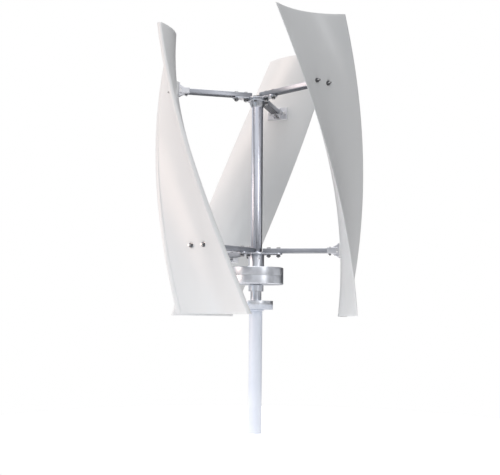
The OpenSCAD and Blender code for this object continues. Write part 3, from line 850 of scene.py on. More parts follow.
@dataclass(frozen=True)
class Mast:
    """The pole with its welded flange, and the fixed flange, neck and boss above it.

    pole_end is the radius of the pole's turned end and the height where it begins. axle_steps
    are the radius and top of each step of the axle, from its socket in the flange upwards.
    """

    pole_radius: float = 24.15
    pole_bore: float = 20.95
    pole_top: float = 461.0
    pole_end: tuple[float, float] = (23.65, 438.0)
    joint: float = 463.0
    flange_radius: float = 62.5
    flange_bottom: float = 446.0
    base_top: float = 477.0
    lead_bore: float = 10.0
    screws: int = 6
    screw_circle: float = 47.0
    weld_radius: float = 26.6
    weld_size: float = 3.0
    weld_rise: float = 0.3
    ripples: int = 48
    ripple_depth: float = 0.25
    ripple_curve: float = 90.0
    socket_radius: float = 20.1
    socket_depth: float = 12.0
    edge: float = 0.9
    axle_bore: float = 6.0
    axle_bottom: float = 465.0
    axle_steps: Outline = (
        (20.0, 512.0), (27.5, 535.0), (18.0, 539.0), (15.0, 596.0), (13.5, 608.0),
    )

    @property
    def head_top(self) -> float:
        """Height at which the heads of the flange screws end."""
        return self.flange_bottom + 2 * M8.radius + 1

    def pole(self) -> Piece:
        """Makes the pole from pipe, its upper end turned down for the flange.

        Returns:
            The pole.
        """
        r, bore, (end, shoulder) = self.pole_radius, self.pole_bore, self.pole_end
        outline = [(bore, 0), (r, 0), (r, shoulder), (end, shoulder)]
        outline += [(end, self.pole_top), (bore, self.pole_top)]
        piece = turn("pole", outline)
        soften(piece, 0.5)
        return piece

    def weld(self) -> Piece:
        """Makes the weld bead, with the ripple that each puddle leaves.

        Returns:
            The bead.
        """
        bpy.ops.mesh.primitive_torus_add(
            major_radius=self.weld_radius * MM,
            minor_radius=self.weld_size * MM,
            major_segments=240,
            minor_segments=16,
            location=(0, 0, (self.flange_bottom - self.weld_size + self.weld_rise) * MM),
        )
        bead = bpy.context.object
        bead.data.transform(bead.matrix_world)
        bead.matrix_world = Matrix.Identity(4)
        middle = (self.flange_bottom - self.weld_size) * MM
        for vertex in bead.data.vertices:
            flat = Vector((vertex.co.x, vertex.co.y, 0))
            ring = flat.normalized() * self.weld_radius * MM + Vector((0, 0, middle))
            curve = (flat.length - ring.xy.length) * self.ripple_curve
            wave = abs(math.sin(math.atan2(flat.y, flat.x) * self.ripples / 2 + curve))
            vertex.co -= (vertex.co - ring).normalized() * self.ripple_depth * MM * (1 - wave)
        return smooth_flats(bead, 60)

    def pole_flange(self) -> Piece:
        """Makes the flange on the pole, with a counterbore under each screw.

        Returns:
            The flange with its weld bead.
        """
        r, bore, z = self.flange_radius, self.pole_end[0] + 0.1, self.flange_bottom
        outline = [(bore, z), (r, z), (r, self.joint), (self.lead_bore, self.joint)]
        outline += [(self.lead_bore, self.pole_top), (bore, self.pole_top)]
        piece = turn("pole_flange", outline)
        places = around(self.screws, self.screw_circle)
        drill(piece, M8.radius + CLEARANCE, z - PAST, self.joint + PAST, places)
        drill(piece, M8.across / 2 + 2 * CLEARANCE, z - PAST, self.head_top, places)
        soften(piece, self.edge)
        return join([piece, self.weld()], "pole_flange")

    def base_flange(self) -> Piece:
        """Makes the flange that the generator stands on.

        Returns:
            The flange.
        """
        r, bore, socket = self.flange_radius, self.lead_bore, self.socket_radius
        floor = self.base_top - self.socket_depth
        outline = [(bore, self.joint), (r, self.joint), (r, self.base_top), (socket, self.base_top)]
        outline += [(socket, floor), (bore, floor)]
        piece = turn("base_flange", outline)
        places = around(self.screws, self.screw_circle)
        drill(piece, M8.radius + 0.05, self.joint - PAST, self.base_top + PAST, places)
        soften(piece, self.edge)
        return piece

    def neck_and_boss(self) -> Piece:
        """Makes the fixed axle with the neck and the boss that show under the generator.

        Returns:
            The axle.
        """
        z = self.axle_bottom
        outline = [(self.axle_bore, z)]
        for radius, top in self.axle_steps:
            outline += [(radius, z), (radius, top)]
            z = top
        piece = turn("neck_and_boss", [*outline, (self.axle_bore, z)])
        soften(piece, 0.8, 3)
        return piece

    def build(self) -> None:
        """Builds and dresses the fixed pieces."""
        fit(self.pole(), Body.MAST, "pole_paint", POWDER_COAT, "mast_pole")
        fit(self.pole_flange(), Body.MAST, "pole_paint", POWDER_COAT, "mast_flange")
        fit(self.base_flange(), Body.MAST, "turned_aluminium", TURNED_ALUMINIUM, "base_flange")
        fit(self.neck_and_boss(), Body.MAST, "turned_aluminium", TURNED_ALUMINIUM, "stator_axle")
        places = around(self.screws, self.screw_circle, 0, self.head_top)
        screw = FastenerShop(M8).cap_screw(self.base_top - 1 - self.head_top)
        screws = repeat(screw, places, "flange_screw_set")
        fit_fasteners(screws, "flange_screws", body=Body.MAST)


# ---------------------------------------------------------------- generator


@dataclass(frozen=True)
class Generator:
    """The turning housing in two halves, with the drive neck on the upper one."""

    radius: float = 100.0
    wall: float = 9.0
    floor: float = 5.0
    bottom: float = 537.0
    top: float = 598.0
    seam: float = 567.5
    gasket: float = 0.6
    chamfer: float = 2.0
    neck_radius: float = 29.0
    neck_top: float = 646.0
    neck_bore: float = 20.6
    socket_radius: float = 21.3
    socket_floor: float = 612.0
    seat_wall: float = 34.0
    seat_radius: float = 27.5
    seat_depth: float = 17.0
    seat_floor: float = 2.0
    opening: float = 23.0
    screws: int = 8
    screw_circle: float = 95.5
    first_screw: float = 22.5
    screw_length: float = 41.5
    head_height: float = 6.0
    set_screws: int = 3
    set_screw_height: float = 630.0
    set_screw_hole: float = 3.05

    def lower_half(self) -> Piece:
        """Makes the lower half, with its bearing seat and the counterbores of its screws.

        Returns:
            The lower half.
        """
        r, c, z, inside = self.radius, self.chamfer, self.bottom, self.radius - self.wall
        edge, floor, top = self.seam - self.gasket / 2, z + self.floor, z + self.seat_depth
        wall, seat, low = self.seat_wall, self.seat_radius, z + self.seat_floor
        outline = [(self.opening, z), (r - c, z), (r, z + c), (r, edge), (inside, edge)]
        outline += [(inside, floor), (wall, floor), (wall, top), (seat, top), (seat, low)]
        piece = turn("lower_half", [*outline, (self.opening, low)], 192)
        places = around(self.screws, self.screw_circle, self.first_screw)
        drill(piece, M4.radius + CLEARANCE, z - PAST, edge + PAST, places)
        drill(piece, M4.across / 2 + CLEARANCE, z - PAST, z + self.head_height, places)
        soften(piece, 0.5)
        return piece

    def upper_half(self) -> Piece:
        """Makes the upper half and the drive neck, with the holes of the set screws.

        Returns:
            The upper half.
        """
        r, c, z, inside = self.radius, self.chamfer, self.top, self.radius - self.wall
        edge, roof, low = self.seam + self.gasket / 2, z - self.floor, z - self.seat_depth
        wall, seat, top = self.seat_wall, self.seat_radius, z - self.seat_floor
        neck, socket, bore = self.neck_radius, self.socket_radius, self.neck_bore
        outline = [(inside, edge), (r, edge), (r, z - c), (r - c, z), (neck, z)]
        outline += [(neck, self.neck_top), (socket, self.neck_top), (socket, self.socket_floor)]
        outline += [(bore, self.socket_floor), (bore, top), (seat, top)]
        outline += [(seat, low), (wall, low), (wall, roof), (inside, roof)]
        piece = turn("upper_half", outline, 192)
        start = LAYOUT.arm_azimuth(Level.LOWER) + LAYOUT.half_step
        around_neck = around(self.set_screws, 0, start, self.set_screw_height)
        drill(piece, self.set_screw_hole, 15, 40, [place @ OUTWARDS for place in around_neck])
        soften(piece, 0.6)
        return piece

    def build(self) -> None:
        """Builds and dresses the housing and its screws."""
        for half, node in ((self.lower_half, "lower_housing"), (self.upper_half, "upper_housing")):
            fit(half(), Body.ROTOR, "turned_aluminium", TURNED_ALUMINIUM, node)
        height = self.bottom + self.head_height
        places = around(self.screws, self.screw_circle, self.first_screw, height)
        screws = repeat(FastenerShop(M4).cap_screw(self.screw_length), places, "housing_screw_set")
        fit_fasteners(screws, "housing_screws")


# ---------------------------------------------------------------- shaft and hubs


@dataclass(frozen=True)
class Shaft:
    """The rotor shaft with the collar under the upper hub plate and the cap on top."""

    radius: float = 21.2
    wall: float = 3.0
    bottom: float = 612.0
    top: float = 1234.0
    collar_radius: float = 27.0
    collar_end: float = 22.2
    collar_flange: float = 38.17
    flange_height: float = 7.0
    cone_top: float = 21.0
    collar_height: float = 29.0
    plate_bottom: float = 1224.0
    plug_length: float = 14.0
    lid_overhang: float = 1.5
    lid_height: float = 3.0
    crown: float = 5.0

    def tube(self) -> Piece:
        """Makes the shaft from drawn tube.

        Returns:
            The tube.
        """
        r, bore = self.radius, self.radius - self.wall
        outline = [(bore, self.bottom), (r, self.bottom), (r, self.top), (bore, self.top)]
        piece = turn("shaft_tube", outline)
        soften(piece, 0.4)
        return piece

    def collar(self) -> Piece:
        """Makes the collar: a cone, a sleeve and the flange that the plate is bolted to.

        Returns:
            The collar.
        """
        bore, r, rim = self.radius + 0.1, self.collar_radius, self.collar_flange
        z = self.plate_bottom
        end, step = z - self.collar_height, z - self.flange_height
        outline = [(bore, end), (self.collar_end, end), (r, z - self.cone_top), (r, step)]
        outline += [(rim, step), (rim, z), (bore, z)]
        piece = turn("collar", outline)
        soften(piece, 0.7, 3)
        return piece

    def cap(self) -> Piece:
        """Makes the cap that closes the tube, slightly crowned.

        Returns:
            The cap.
        """
        plug, lid, z = self.radius - self.wall - 0.1, self.radius + self.lid_overhang, self.top
        outline = [(0, z - self.plug_length), (plug, z - self.plug_length), (plug, z), (lid, z)]
        outline += [(lid, z + self.lid_height), (lid - 4, z + self.crown - 0.4)]
        outline += [(0, z + self.crown)]
        piece = turn("cap", outline)
        soften(piece, 0.8, 3)
        return piece

    def build(self) -> None:
        """Builds and dresses the shaft's pieces."""
        fit(self.tube(), Body.ROTOR, "shaft_aluminium", ANODISED_TUBE, "rotor_shaft")
        fit(self.collar(), Body.ROTOR, "shaft_aluminium", TURNED_ALUMINIUM, "shaft_collar")
        fit(self.cap(), Body.ROTOR, "cap_plastic", CAP_PLASTIC, "shaft_cap")


@dataclass(frozen=True)
class Hub:
    """A hub plate with the fasteners of the plate and of the arms that lie on it.

    A bolt's two numbers are the lengths of its shank and of its thread.
    """

    level: Level
    bolt_radii: tuple[float, float] = (46.0, 82.0)
    neck_screws: int = 6
    neck_circle: float = 25.15
    neck_grip: float = 12.0
    collar_bolts: int = 3
    collar_circle: float = 33.17
    collar_bolt: tuple[float, float] = (20.8, 8.0)
    arm_bolt: tuple[float, float] = (33.0, 12.0)

    @property
    def plate_bottom(self) -> float:
        """Height of the plate's underside."""
        return LAYOUT.arm_height(self.level) - LAYOUT.arm_thickness / 2 - LAYOUT.plate_thickness

    def places(self, height: float) -> list[Matrix]:
        """Gives the places of the arm bolts at a height.

        Args:
            height: The height in millimetres.

        Returns:
            One matrix for each bolt.
        """
        start = LAYOUT.arm_azimuth(self.level)
        return [p for r in self.bolt_radii for p in around(LAYOUT.blades, r, start, height)]

    def plate(self) -> Piece:
        """Makes the plate with its cut edges rounded.

        Returns:
            The plate.
        """
        piece = copy_of(f"{self.level.value}_hub_plate", f"{self.level.value}_plate")
        soften(piece, 0.6)
        return piece

    def plate_fasteners(self) -> None:
        """Builds what holds the plate to the drive neck or to the collar."""
        start = LAYOUT.arm_azimuth(self.level)
        top = self.plate_bottom + LAYOUT.plate_thickness
        if self.level is Level.LOWER:
            first = start + LAYOUT.half_step / 2
            circle = around(self.neck_screws, self.neck_circle, first, top)
            screw = FastenerShop(M4).cap_screw(LAYOUT.plate_thickness + self.neck_grip)
            screws = repeat(screw, [place @ UPSIDE_DOWN for place in circle], "neck_screw_set")
            fit_fasteners(screws, "lower_hub_screws")
            return
        shop = FastenerShop(M6)
        circle = (self.collar_bolts, self.collar_circle, start + LAYOUT.half_step)
        bolts = repeat(shop.bolt(*self.collar_bolt), around(*circle, top), "collar_bolt_set")
        fit_fasteners(smooth_flats(bolts), "upper_hub_bolts")
        under = self.plate_bottom - Shaft.flange_height
        nuts = repeat(shop.nut(), around(*circle, under), "collar_nut_set")
        fit_fasteners(smooth_flats(nuts), "upper_hub_nuts", NUT_PAINTED_DARK)

    def arm_fasteners(self) -> None:
        """Builds the bolts, washers and nuts that hold the arms."""
        name, shop, washer = self.level.value, FastenerShop(M8), LAYOUT.washer
        top = LAYOUT.arm_height(self.level) + LAYOUT.arm_thickness / 2
        bolts = repeat(shop.bolt(*self.arm_bolt), self.places(top), f"{name}_arm_bolt_set")
        fit_fasteners(smooth_flats(bolts), f"{name}_arm_bolts")
        washers = repeat(shop.washer(washer), self.places(self.plate_bottom), "washers")
        nuts = smooth_flats(repeat(shop.nut(), self.places(self.plate_bottom - washer), "nuts"))
        # The nuts take the darker stainless, which paints shade into them.
        nuts.data.materials.append(material_of(NUT_PAINTED_DARK))
        washers.data.materials.append(material_of(STAINLESS))
        pair = join([nuts, washers], f"{name}_arm_nut_set")
        fit_fasteners(pair, f"{name}_arm_nuts")

    def build(self) -> None:
        """Builds and dresses the plate and its fasteners."""
        fit(self.plate(), Body.ROTOR, "plate_zinc", ZINC_PLATE, f"{self.level.value}_hub_plate")
        self.plate_fasteners()
        self.arm_fasteners()


# ---------------------------------------------------------------- arms and brackets


@dataclass(frozen=True)
class Arm:
    """One arm with the cast bracket on its outer end.

    holes are the places of its bolt holes along the arm and their radii. voxel is the grain
    at which the casting's corners are rounded.
    """

    level: Level
    blade: int
    start: float = 26.0
    end: float = 297.5
    width: float = 36.0
    corner: float = 2.0
    grooves: int = 4
    groove_depth: float = 4.5
    wall: float = 2.4
    chamber: float = 60.0
    edge: float = 0.3
    holes: tuple[tuple[float, float], ...] = (
        (46.0, 4.25), (82.0, 4.25), (270.5, 2.75), (288.5, 2.75),
    )
    voxel: float = 1.0

    @property
    def name(self) -> str:
        """The name that the arm's pieces and frame nodes share."""
        return f"{self.level.value}_%s_{self.blade + 1}"

    def profile(self) -> list[Vector]:
        """Draws the bar's section, with round corners and grooves along its underside.

        Returns:
            The points in order, in millimetres, at the bar's inner end.
        """
        half, low, c = self.width / 2, LAYOUT.arm_thickness / 2, self.corner
        pitch = (self.width - 2 * c) / self.grooves
        route: list[tuple[float, float]] = []
        for i in range(self.grooves):
            left = (i - self.grooves / 2 + 0.25) * pitch
            right, roof = left + pitch / 2, self.groove_depth - low
            route += [(left, -low), (left, roof), (right, roof), (right, -low)]
        for y, z, first in ((1, -1, -90), (1, 1, 0), (-1, 1, 90), (-1, -1, 180)):
            for step in range(5):
                angle = math.radians(first + step * 22.5)
                aside, up = c * math.cos(angle), c * math.sin(angle)
                route.append((y * (half - c) + aside, z * (low - c) + up))
        return [Vector((self.start, y, z)) for y, z in route]

    def chambers(self) -> Piece:
        """Makes the two hollows of the bar's inner end, as solids to be cut out.

        Returns:
            Both hollows as one tool.
        """
        low = LAYOUT.arm_thickness / 2
        floor, roof = self.groove_depth + self.wall / 2 - low, low - self.wall
        wide = self.width / 2 - 1.5 * self.wall
        bpy.ops.mesh.primitive_cube_add(size=MM)
        block = bpy.context.object
        block.data.transform(Matrix.Diagonal((self.chamber, wide, roof - floor, 1)))
        side = self.width / 4 + self.wall / 4
        centres = [Vector((self.start, y * side, (floor + roof) / 2)) * MM for y in (-1, 1)]
        return repeat(block, [Matrix.Translation(centre) for centre in centres], "chambers")

    def bar(self) -> Piece:
        """Makes the extruded bar, with the direction of its die lines kept on its points.

        Returns:
            The bar in its place, with its materials.
        """
        piece = draw_outline(self.name % "bar", self.profile(), True)
        with editing(piece):
            bpy.ops.mesh.edge_face_add()
            length = (self.end - self.start) * MM
            bpy.ops.mesh.extrude_region_move(TRANSFORM_OT_translate={"value": (length, 0, 0)})
        close_up(piece)
        combine(piece, self.chambers(), "DIFFERENCE")
        for radius, hole in self.holes:
            drill(piece, hole, -20, 20, [Matrix.Translation((radius * MM, 0, 0))])
        soften(piece, self.edge)
        for finish in (EXTRUDED_ALUMINIUM, GROOVE_PAINTED_SHADE):
            piece.data.materials.append(material_of(finish))
        low = -LAYOUT.arm_thickness / 2 * MM
        # Faces deep in the grooves get the second material, which paints shade into them.
        for face in piece.data.polygons:
            deep = low + 0.35 * MM < face.center.z < low + (self.groove_depth + 0.2) * MM
            inside = abs(face.center.y) < (self.width / 2 - self.corner) * MM
            face.material_index = int(deep and inside)
        grain = piece.data.attributes.new(GRAIN, "FLOAT_VECTOR", "POINT")
        for point, vertex in zip(grain.data, piece.data.vertices):
            point.vector = vertex.co
        piece.data.transform(LAYOUT.arm_place(self.level, self.blade))
        return piece

    def bracket(self) -> Piece:
        """Makes the cast bracket, its corners rounded as they leave the mould.

        Returns:
            The bracket.
        """
        piece = copy_of(self.name % "bracket", self.name % "casting")
        apply_modifier(piece, "REMESH", mode="VOXEL", voxel_size=self.voxel * MM)
        apply_modifier(piece, "SMOOTH", factor=0.5, iterations=4)
        return smooth_flats(piece, 60)

    def build(self) -> None:
        """Builds and dresses the arm and its bracket."""
        fit(self.bar(), Body.ROTOR, "arm_aluminium", EXTRUDED_ALUMINIUM, self.name % "arm")
        fit(self.bracket(), Body.ROTOR, "bracket_aluminium", CAST_ALUMINIUM, self.name % "bracket")


@dataclass(frozen=True)
class BracketBolts:
    """The small bolts that hold the arms in the brackets' sockets."""

    radii: tuple[float, float] = (270.5, 288.5)
    thread: float = 8.0
    past_nut: float = 3.0

    def places(self, side: float) -> list[Matrix]:
        """Gives the places on the top or the underside of each socket.

        Args:
            side: 1 for the top and -1 for the underside.

        Returns:
            One matrix for each bolt.
        """
        half = LAYOUT.socket_height / 2 * side
        found: list[Matrix] = []
        for level in Level:
            start, height = LAYOUT.arm_azimuth(level), LAYOUT.arm_height(level) + half
            for radius in self.radii:
                found += around(LAYOUT.blades, radius, start, height)
        return found

    def build(self) -> None:
        """Builds and dresses the bolts and nuts."""
        shop = FastenerShop(M5)
        bolt = shop.bolt(LAYOUT.socket_height + M5.nut_height + self.past_nut, self.thread)
        bolts = smooth_flats(repeat(bolt, self.places(1), "bracket_bolt_set"))
        fit_fasteners(bolts, "bracket_bolts")
        nuts = smooth_flats(repeat(shop.nut(), self.places(-1), "bracket_nut_set"))
        fit_fasteners(nuts, "bracket_nuts", NUT_PAINTED_DARK)


# ---------------------------------------------------------------- blades


@dataclass(frozen=True)
class Blade:
    """One twisted scoop blade of glass fibre, with its moulded pads and spot faces.

    The hollow face has a raised rim along the tail, and rim_steps are the points across it as
    shares of its width. lip_roll is how far the tail's edge rolls back.
    """

    blade: int
    chord: float = 268.0
    scoop: float = 40.0
    radius: float = 359.0
    toe: float = 2.7
    tail: float = 4.0
    nose: float = 18.0
    nose_round: float = 5.0
    rim_width: float = 13.0
    rim_height: float = 1.5
    rim_steps: tuple[float, ...] = (0.25, 0.45, 0.65, 0.94, 1.0, 1.06)
    lip_roll: float = 3.2
    bolt_offset: float = 29.0
    spot_radius: float = 10.0
    pad: tuple[float, float] = (84.0, 52.0)
    pad_depth: float = 9.0
    pad_draft: tuple[float, float, float] = (1.0, 0.975, 0.96)
    pad_edge: float = 1.6
    edge: float = 0.7
    tool: float = 40.0
    across: int = 44
    slices: int = 110

    def outer(self, t: float) -> Vector:
        """Gives a point of the hollow face, from the tail (t = 0) to the nose (t = 1).

        Args:
            t: Share of the chord.

        Returns:
            The point in the section, outwards and along the chord.
        """
        inside = self.rim_width - t * self.chord
        step = min(1.0, max(0.0, inside / 1.5 + 0.5))
        roll = self.lip_roll * (max(0.0, inside) / self.rim_width) ** 2
        depth = 4 * t * (1 - t) * self.scoop
        return Vector((self.rim_height * step - roll - depth, (t - 0.5) * self.chord))

    def inner(self, t: float) -> Vector:
        """Gives the point of the round face that lies one skin's thickness under the hollow.

        Args:
            t: Share of the chord.

        Returns:
            The point in the section, outwards and along the chord.
        """
        slope = 4 * (1 - 2 * t) * self.scoop / self.chord
        skin = self.tail + (self.nose - self.tail) * t
        long = math.hypot(1, slope)
        base = Vector((-4 * t * (1 - t) * self.scoop, (t - 0.5) * self.chord))
        return base - Vector((1, slope)) * (skin / long)

    def section(self) -> list[Vector]:
        """Draws the blade's section at its lower end.

        Returns:
            The points in order round the section, in millimetres.
        """
        n = self.across
        rim = self.rim_width / self.chord
        steps = sorted({i / n for i in range(n + 1)} | {rim * k for k in self.rim_steps})
        start, end = self.outer(1), self.inner(1)
        middle, half = (start + end) / 2, (start - end) / 2
        along = Vector((-half.y, half.x)).normalized() * self.nose_round
        angles = [math.radians(a) for a in range(12, 180, 12)]
        flat = [self.outer(t) for t in steps]
        flat += [middle + half * math.cos(a) + along * math.sin(a) for a in angles]
        flat += [self.inner(i / n) for i in range(n, -1, -1)]
        toe = Matrix.Rotation(-math.radians(self.toe), 2)
        facing = math.radians(LAYOUT.azimuth(LAYOUT.blade_bottom, self.blade))
        turned = Matrix.Rotation(facing, 3, "Z")
        bottom = Vector((0, 0, LAYOUT.blade_bottom))
        placed = [toe @ p for p in flat]
        return [turned @ Vector((p.x + self.radius, p.y, 0)) + bottom for p in placed]

    def skin(self) -> Piece:
        """Sweeps the section up and round the axis, and closes both ends.

        Returns:
            The closed skin.
        """
        piece = draw_outline(f"blade_{self.blade + 1}_moulding", self.section(), True)
        apply_modifier(
            piece,
            "SCREW",
            angle=-math.radians(LAYOUT.blade_twist),
            screw_offset=LAYOUT.blade_height * MM,
            steps=self.slices,
            render_steps=self.slices,
            use_merge_vertices=False,
        )
        with editing(piece):
            bpy.ops.mesh.select_all(action="DESELECT")
            bpy.ops.mesh.select_non_manifold(extend=False)
            bpy.ops.mesh.fill_holes(sides=0)
        close_up(piece)
        return piece

    def pad_at(self, level: Level) -> Piece:
        """Makes the raised pad that a bracket sits on, with drafted sides.

        Args:
            level: The level of its bracket.

        Returns:
            The pad in its place.
        """
        width, height = self.pad
        place = LAYOUT.arm_place(level, self.blade, LAYOUT.pad_face)
        bpy.ops.mesh.primitive_cube_add(size=1)
        piece = bpy.context.object
        with editing(piece):
            size = Vector((self.pad_depth, width, height)) * MM
            bpy.ops.transform.resize(value=size)
            bpy.ops.transform.translate(value=(self.pad_depth / 2 * MM, 0, 0))
            pick_faces(piece, lambda centre, normal: normal.x < -0.5)
            bpy.ops.transform.resize(value=self.pad_draft)
        soften(piece, self.pad_edge, 3)
        piece.data.transform(place)
        return piece

    def bolt_places(self, level: Level) -> list[Matrix]:
        """Gives the places of a bracket's two blade bolts on the axis, with z outwards.

        Args:
            level: The level of the bracket.

        Returns:
            Two matrices.
        """
        turned = LAYOUT.arm_place(level, self.blade)
        asides = [Matrix.Translation((0, side * self.bolt_offset * MM, 0)) for side in (-1, 1)]
        return [turned @ aside @ OUTWARDS for aside in asides]

    def dress(self, piece: Piece) -> None:
        """Gives the faces gelcoat, and the sawn ends bare laminate.

        Args:
            piece: The finished blade.
        """
        for finish in (GELCOAT, LAMINATE):
            piece.data.materials.append(material_of(finish))
        low = LAYOUT.blade_bottom * MM
        high = low + LAYOUT.blade_height * MM
        for face in piece.data.polygons:
            at_end = min(abs(face.center.z - low), abs(face.center.z - high)) < 0.2 * MM
            face.material_index = int(at_end and abs(face.normal.z) > 0.9)

    def build(self) -> None:
        """Builds and dresses the blade."""
        piece = self.skin()
        places = [place for level in Level for place in self.bolt_places(level)]
        pads = join([self.pad_at(level) for level in Level], "pads")
        end = LAYOUT.spot_face + self.tool
        drill(piece, M8.radius + CLEARANCE, LAYOUT.pad_face - 5, end, places)
        drill(piece, self.spot_radius, LAYOUT.spot_face, end, places)
        soften(piece, self.edge)
        piece = join([piece, pads], f"blade_{self.blade + 1}_moulding")
        self.dress(piece)
        fit(piece, Body.ROTOR, "blade_gelcoat", GELCOAT, f"blade_{self.blade + 1}")


@dataclass(frozen=True)
class BladeBolts:
    """The bolts, washers and nuts that hold the blades to the brackets."""

    bolt: tuple[float, float] = (33.2, 18.0)

    def places(self, radius: float, turned: Matrix) -> list[Matrix]:
        """Gives the places of all blade bolts at a distance from the axis.

        Args:
            radius: Distance from the axis in millimetres.
            turned: Turn of each piece at its own place.

        Returns:
            One matrix for each bolt.
        """
        out = Matrix.Translation((0, 0, radius * MM))
        ends = [(blade, level) for blade in range(LAYOUT.blades) for level in Level]
        found = [place for blade, level in ends for place in Blade(blade).bolt_places(level)]
        return [place @ out @ turned for place in found]

    def build(self) -> None:
        """Builds and dresses the blade fasteners."""
        shop, upright = FastenerShop(M8), Matrix.Identity(4)
        top = LAYOUT.spot_face + LAYOUT.washer
        heads = self.places(LAYOUT.bracket_end, UPSIDE_DOWN)
        bolts = repeat(shop.bolt(*self.bolt), heads, "blade_bolt_set")
        fit_fasteners(smooth_flats(bolts), "blade_bolts")
        washers = repeat(shop.washer(LAYOUT.washer), self.places(top, upright), "blade_washer_set")
        fit_fasteners(washers, "blade_washers")
        nuts = repeat(shop.nut(), self.places(top + M8.nut_height, upright), "blade_nut_set")
        fit_fasteners(smooth_flats(nuts), "blade_nuts", NUT_PAINTED_DARK)


# ---------------------------------------------------------------- inner pieces


@dataclass(frozen=True)
class Insides:
    """The generator's inner pieces, which keep their frame shapes and get finishes."""

    def dress(self) -> None:
        """Gives each inner piece the finish of its real material."""
        finishes = {
            TURNED_ALUMINIUM: ("stator_hub",),
            RESIN: ("stator_disc",),
            COPPER: ("stator_coils",),
            STAINLESS: ("stator_screws", "axle_washer", "axle_nut", "shaft_set_screws"),
            BEARING_STEEL: tuple(
                f"{level.value}_bearing_{part}"
                for level in Level
                for part in ("inner", "balls", "outer")
            ),
            RUBBER: ("shaft_seal", "seam_gasket"),
            MILD_STEEL: ("lower_back_iron", "upper_back_iron"),
            NICKEL: ("lower_magnets", "upper_magnets"),
        }
        for finish, nodes in finishes.items():
            for node in nodes:
                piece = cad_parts[node]
                piece.data.materials.clear()
                piece.data.materials.append(material_of(finish))
                LOG.info("%s: dressed in %s", node, finish.name)


# ---------------------------------------------------------------- studio


@dataclass(frozen=True)
class SoftBox:
    """An area light that points at the turbine's middle."""

    name: str
    place: tuple[float, float, float]
    size: tuple[float, float]
    power: float
    colour: str = "#FFFFFF"

    def build(self, target: Vector) -> None:
        """Adds the light.

        Args:
            target: The point that it is aimed at.
        """
        light = bpy.data.lights.new(self.name, "AREA")
        light.shape = "RECTANGLE"
        light.size, light.size_y = self.size
        light.energy = self.power
        light.color = linear(self.colour)[:3]
        lamp = bpy.data.objects.new(self.name, light)
        lamp.location = self.place
        lamp.rotation_euler = (target - Vector(self.place)).to_track_quat("-Z", "Y").to_euler()
        bpy.context.collection.objects.link(lamp)


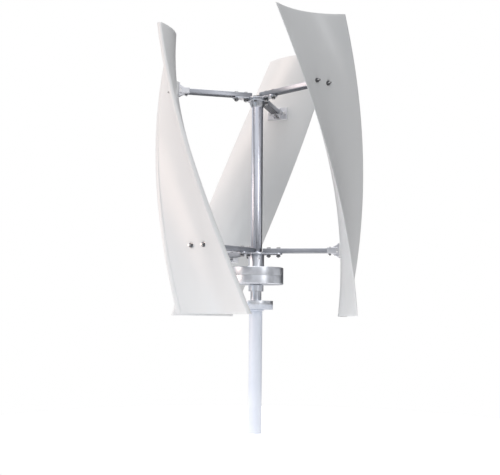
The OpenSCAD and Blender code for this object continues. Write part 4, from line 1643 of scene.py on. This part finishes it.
@dataclass(frozen=True)
class Studio:
    """A white room with soft light from the left, and the camera.

    The room is bright_sky on its bright side and dark_sky across from it. Under the horizon it
    falls to ground, and behind the turbine to ground_behind. Each span is the part of the
    direction's height, depth or turn over which the light changes.
    """

    eye: tuple[float, float, float] = (0.0, -3.562, 0.383)
    pitch: float = 5.24
    yaw: float = -0.38
    roll: float = -0.57
    lens: float = 69.98
    sensor: float = 36.0
    floor_radius: float = 1.2
    bright_side: float = -135.0
    bright_sky: float = 0.86
    dark_sky: float = 0.08
    ground: float = 0.10
    ground_behind: float = 1.3
    side_span: tuple[float, float] = (-1.0, 0.3)
    behind_span: tuple[float, float] = (0.5, 0.9)
    horizon_span: tuple[float, float] = (-0.12, 0.04)
    floor_glow: float = 0.45
    target: tuple[float, float, float] = (0.0, 0.0, 0.95)
    boxes: tuple[SoftBox, ...] = (
        SoftBox("key_left", (-3.6, -0.9, 2.2), (2.2, 3.0), 66.0, "#FFE6D8"),
        SoftBox("low_left", (-1.9, -1.7, 0.2), (1.2, 0.9), 4.5, "#9ADCFF"),
        SoftBox("front_right", (2.1, -3.1, 1.5), (0.8, 1.8), 17.0),
        SoftBox("top", (0.0, 0.4, 4.0), (2.5, 2.5), 45.0),
    )

    def camera(self) -> None:
        """Adds the camera, turned by its pitch, yaw and roll."""
        p, w, r = (math.radians(a) for a in (self.pitch, self.yaw, self.roll))
        ahead = Vector((math.sin(w) * math.cos(p), math.cos(w) * math.cos(p), math.sin(p)))
        right = Vector((math.cos(w), -math.sin(w), 0))
        up = right.cross(ahead)
        x = right * math.cos(r) - up * math.sin(r)
        y = right * math.sin(r) + up * math.cos(r)
        turned = Matrix((x, y, -ahead)).transposed().to_4x4()
        lens = bpy.data.cameras.new("camera")
        lens.sensor_fit, lens.sensor_width, lens.lens = "HORIZONTAL", self.sensor, self.lens
        lens.clip_end = 200.0
        camera = bpy.data.objects.new("camera", lens)
        camera.matrix_world = Matrix.Translation(self.eye) @ turned
        bpy.context.collection.objects.link(camera)
        bpy.context.scene.camera = camera

    def sky(self) -> None:
        """Makes the room: bright on one side, darker across, and white where the camera looks."""
        world = bpy.data.worlds.new("room")
        world.use_nodes = True
        tree = world.node_tree
        tree.nodes.clear()
        way = add_node(tree, "ShaderNodeTexCoord").outputs["Generated"]
        parts = add_node(tree, "ShaderNodeSeparateXYZ", links={0: way}).outputs
        side = math.radians(self.bright_side)
        across = add_node(
            tree,
            "ShaderNodeVectorMath",
            {"operation": "DOT_PRODUCT"},
            {1: (math.cos(side), math.sin(side), 0.0)},
            {0: way},
        ).outputs["Value"]
        fades = (
            (across, self.side_span, self.dark_sky, self.bright_sky),
            (parts["Y"], self.behind_span, self.ground, self.ground_behind),
            (parts["Z"], self.horizon_span, 0.0, 1.0),
        )
        wall, below, above = (
            add_node(
                tree,
                "ShaderNodeMapRange",
                {"interpolation_type": "SMOOTHSTEP"},
                {"From Min": span[0], "From Max": span[1], "To Min": low, "To Max": high},
                {"Value": value},
            )
            for value, span, low, high in fades
        )
        tree.links.new(below.outputs[0], above.inputs["To Min"])
        both = {0: wall.outputs[0], 1: above.outputs[0]}
        light = add_node(tree, "ShaderNodeMath", {"operation": "MULTIPLY"}, links=both).outputs[0]
        paint, white = {"Color": linear("#FBFCFF")}, {"Color": linear("#FFFFFF"), "Strength": 1.0}
        room = add_node(tree, "ShaderNodeBackground", values=paint, links={"Strength": light})
        seen = add_node(tree, "ShaderNodeBackground", values=white)
        ray = add_node(tree, "ShaderNodeLightPath").outputs["Is Camera Ray"]
        mixed = {0: ray, 1: room.outputs[0], 2: seen.outputs[0]}
        mix = add_node(tree, "ShaderNodeMixShader", links=mixed)
        add_node(tree, "ShaderNodeOutputWorld", links={"Surface": mix.outputs[0]})
        bpy.context.scene.world = world

    def floor(self) -> None:
        """Adds the pale floor, which glows a little so that it stays as white as the room."""
        bpy.ops.mesh.primitive_circle_add(
            vertices=128, radius=self.floor_radius, fill_type="NGON", location=(0, 0, -0.5 * MM)
        )
        floor = bpy.context.object
        floor.name = "floor"
        paper = bpy.data.materials.new("floor_paper")
        paper.use_nodes = True
        tree = paper.node_tree
        tree.nodes.clear()
        own = add_node(tree, "ShaderNodeTexCoord").outputs["Object"]
        grain = add_node(tree, "ShaderNodeTexNoise", values={"Scale": 3.0}, links={"Vector": own})
        tint = add_node(tree, "ShaderNodeValToRGB", links={"Fac": grain.outputs["Fac"]})
        for stop, code in zip(tint.color_ramp.elements, ("#F2F2F2", "#F5F5F5")):
            stop.color = linear(code)
        glow = {"Emission Color": linear("#FFFFFF"), "Emission Strength": self.floor_glow}
        shader = add_node(
            tree,
            "ShaderNodeBsdfPrincipled",
            values={"Roughness": 0.9, **glow},
            links={"Base Color": tint.outputs["Color"]},
        )
        add_node(tree, "ShaderNodeOutputMaterial", links={"Surface": shader.outputs[0]})
        floor.data.materials.append(paper)

    def build(self) -> None:
        """Builds the camera, the room and the lights."""
        bpy.context.scene.view_settings.view_transform = "Standard"
        self.camera()
        self.sky()
        self.floor()
        for box in self.boxes:
            box.build(Vector(self.target))


# ---------------------------------------------------------------- build


def main() -> None:
    """Builds the turbine in order."""
    logging.basicConfig(level=logging.INFO, format="%(message)s")
    Studio().build()
    Mast().build()
    Generator().build()
    Shaft().build()
    for level in Level:
        Hub(level).build()
        for blade in range(LAYOUT.blades):
            Arm(level, blade).build()
    BracketBolts().build()
    for blade in range(LAYOUT.blades):
        Blade(blade).build()
    BladeBolts().build()
    Insides().dress()


if __name__ == "__main__":
    main()
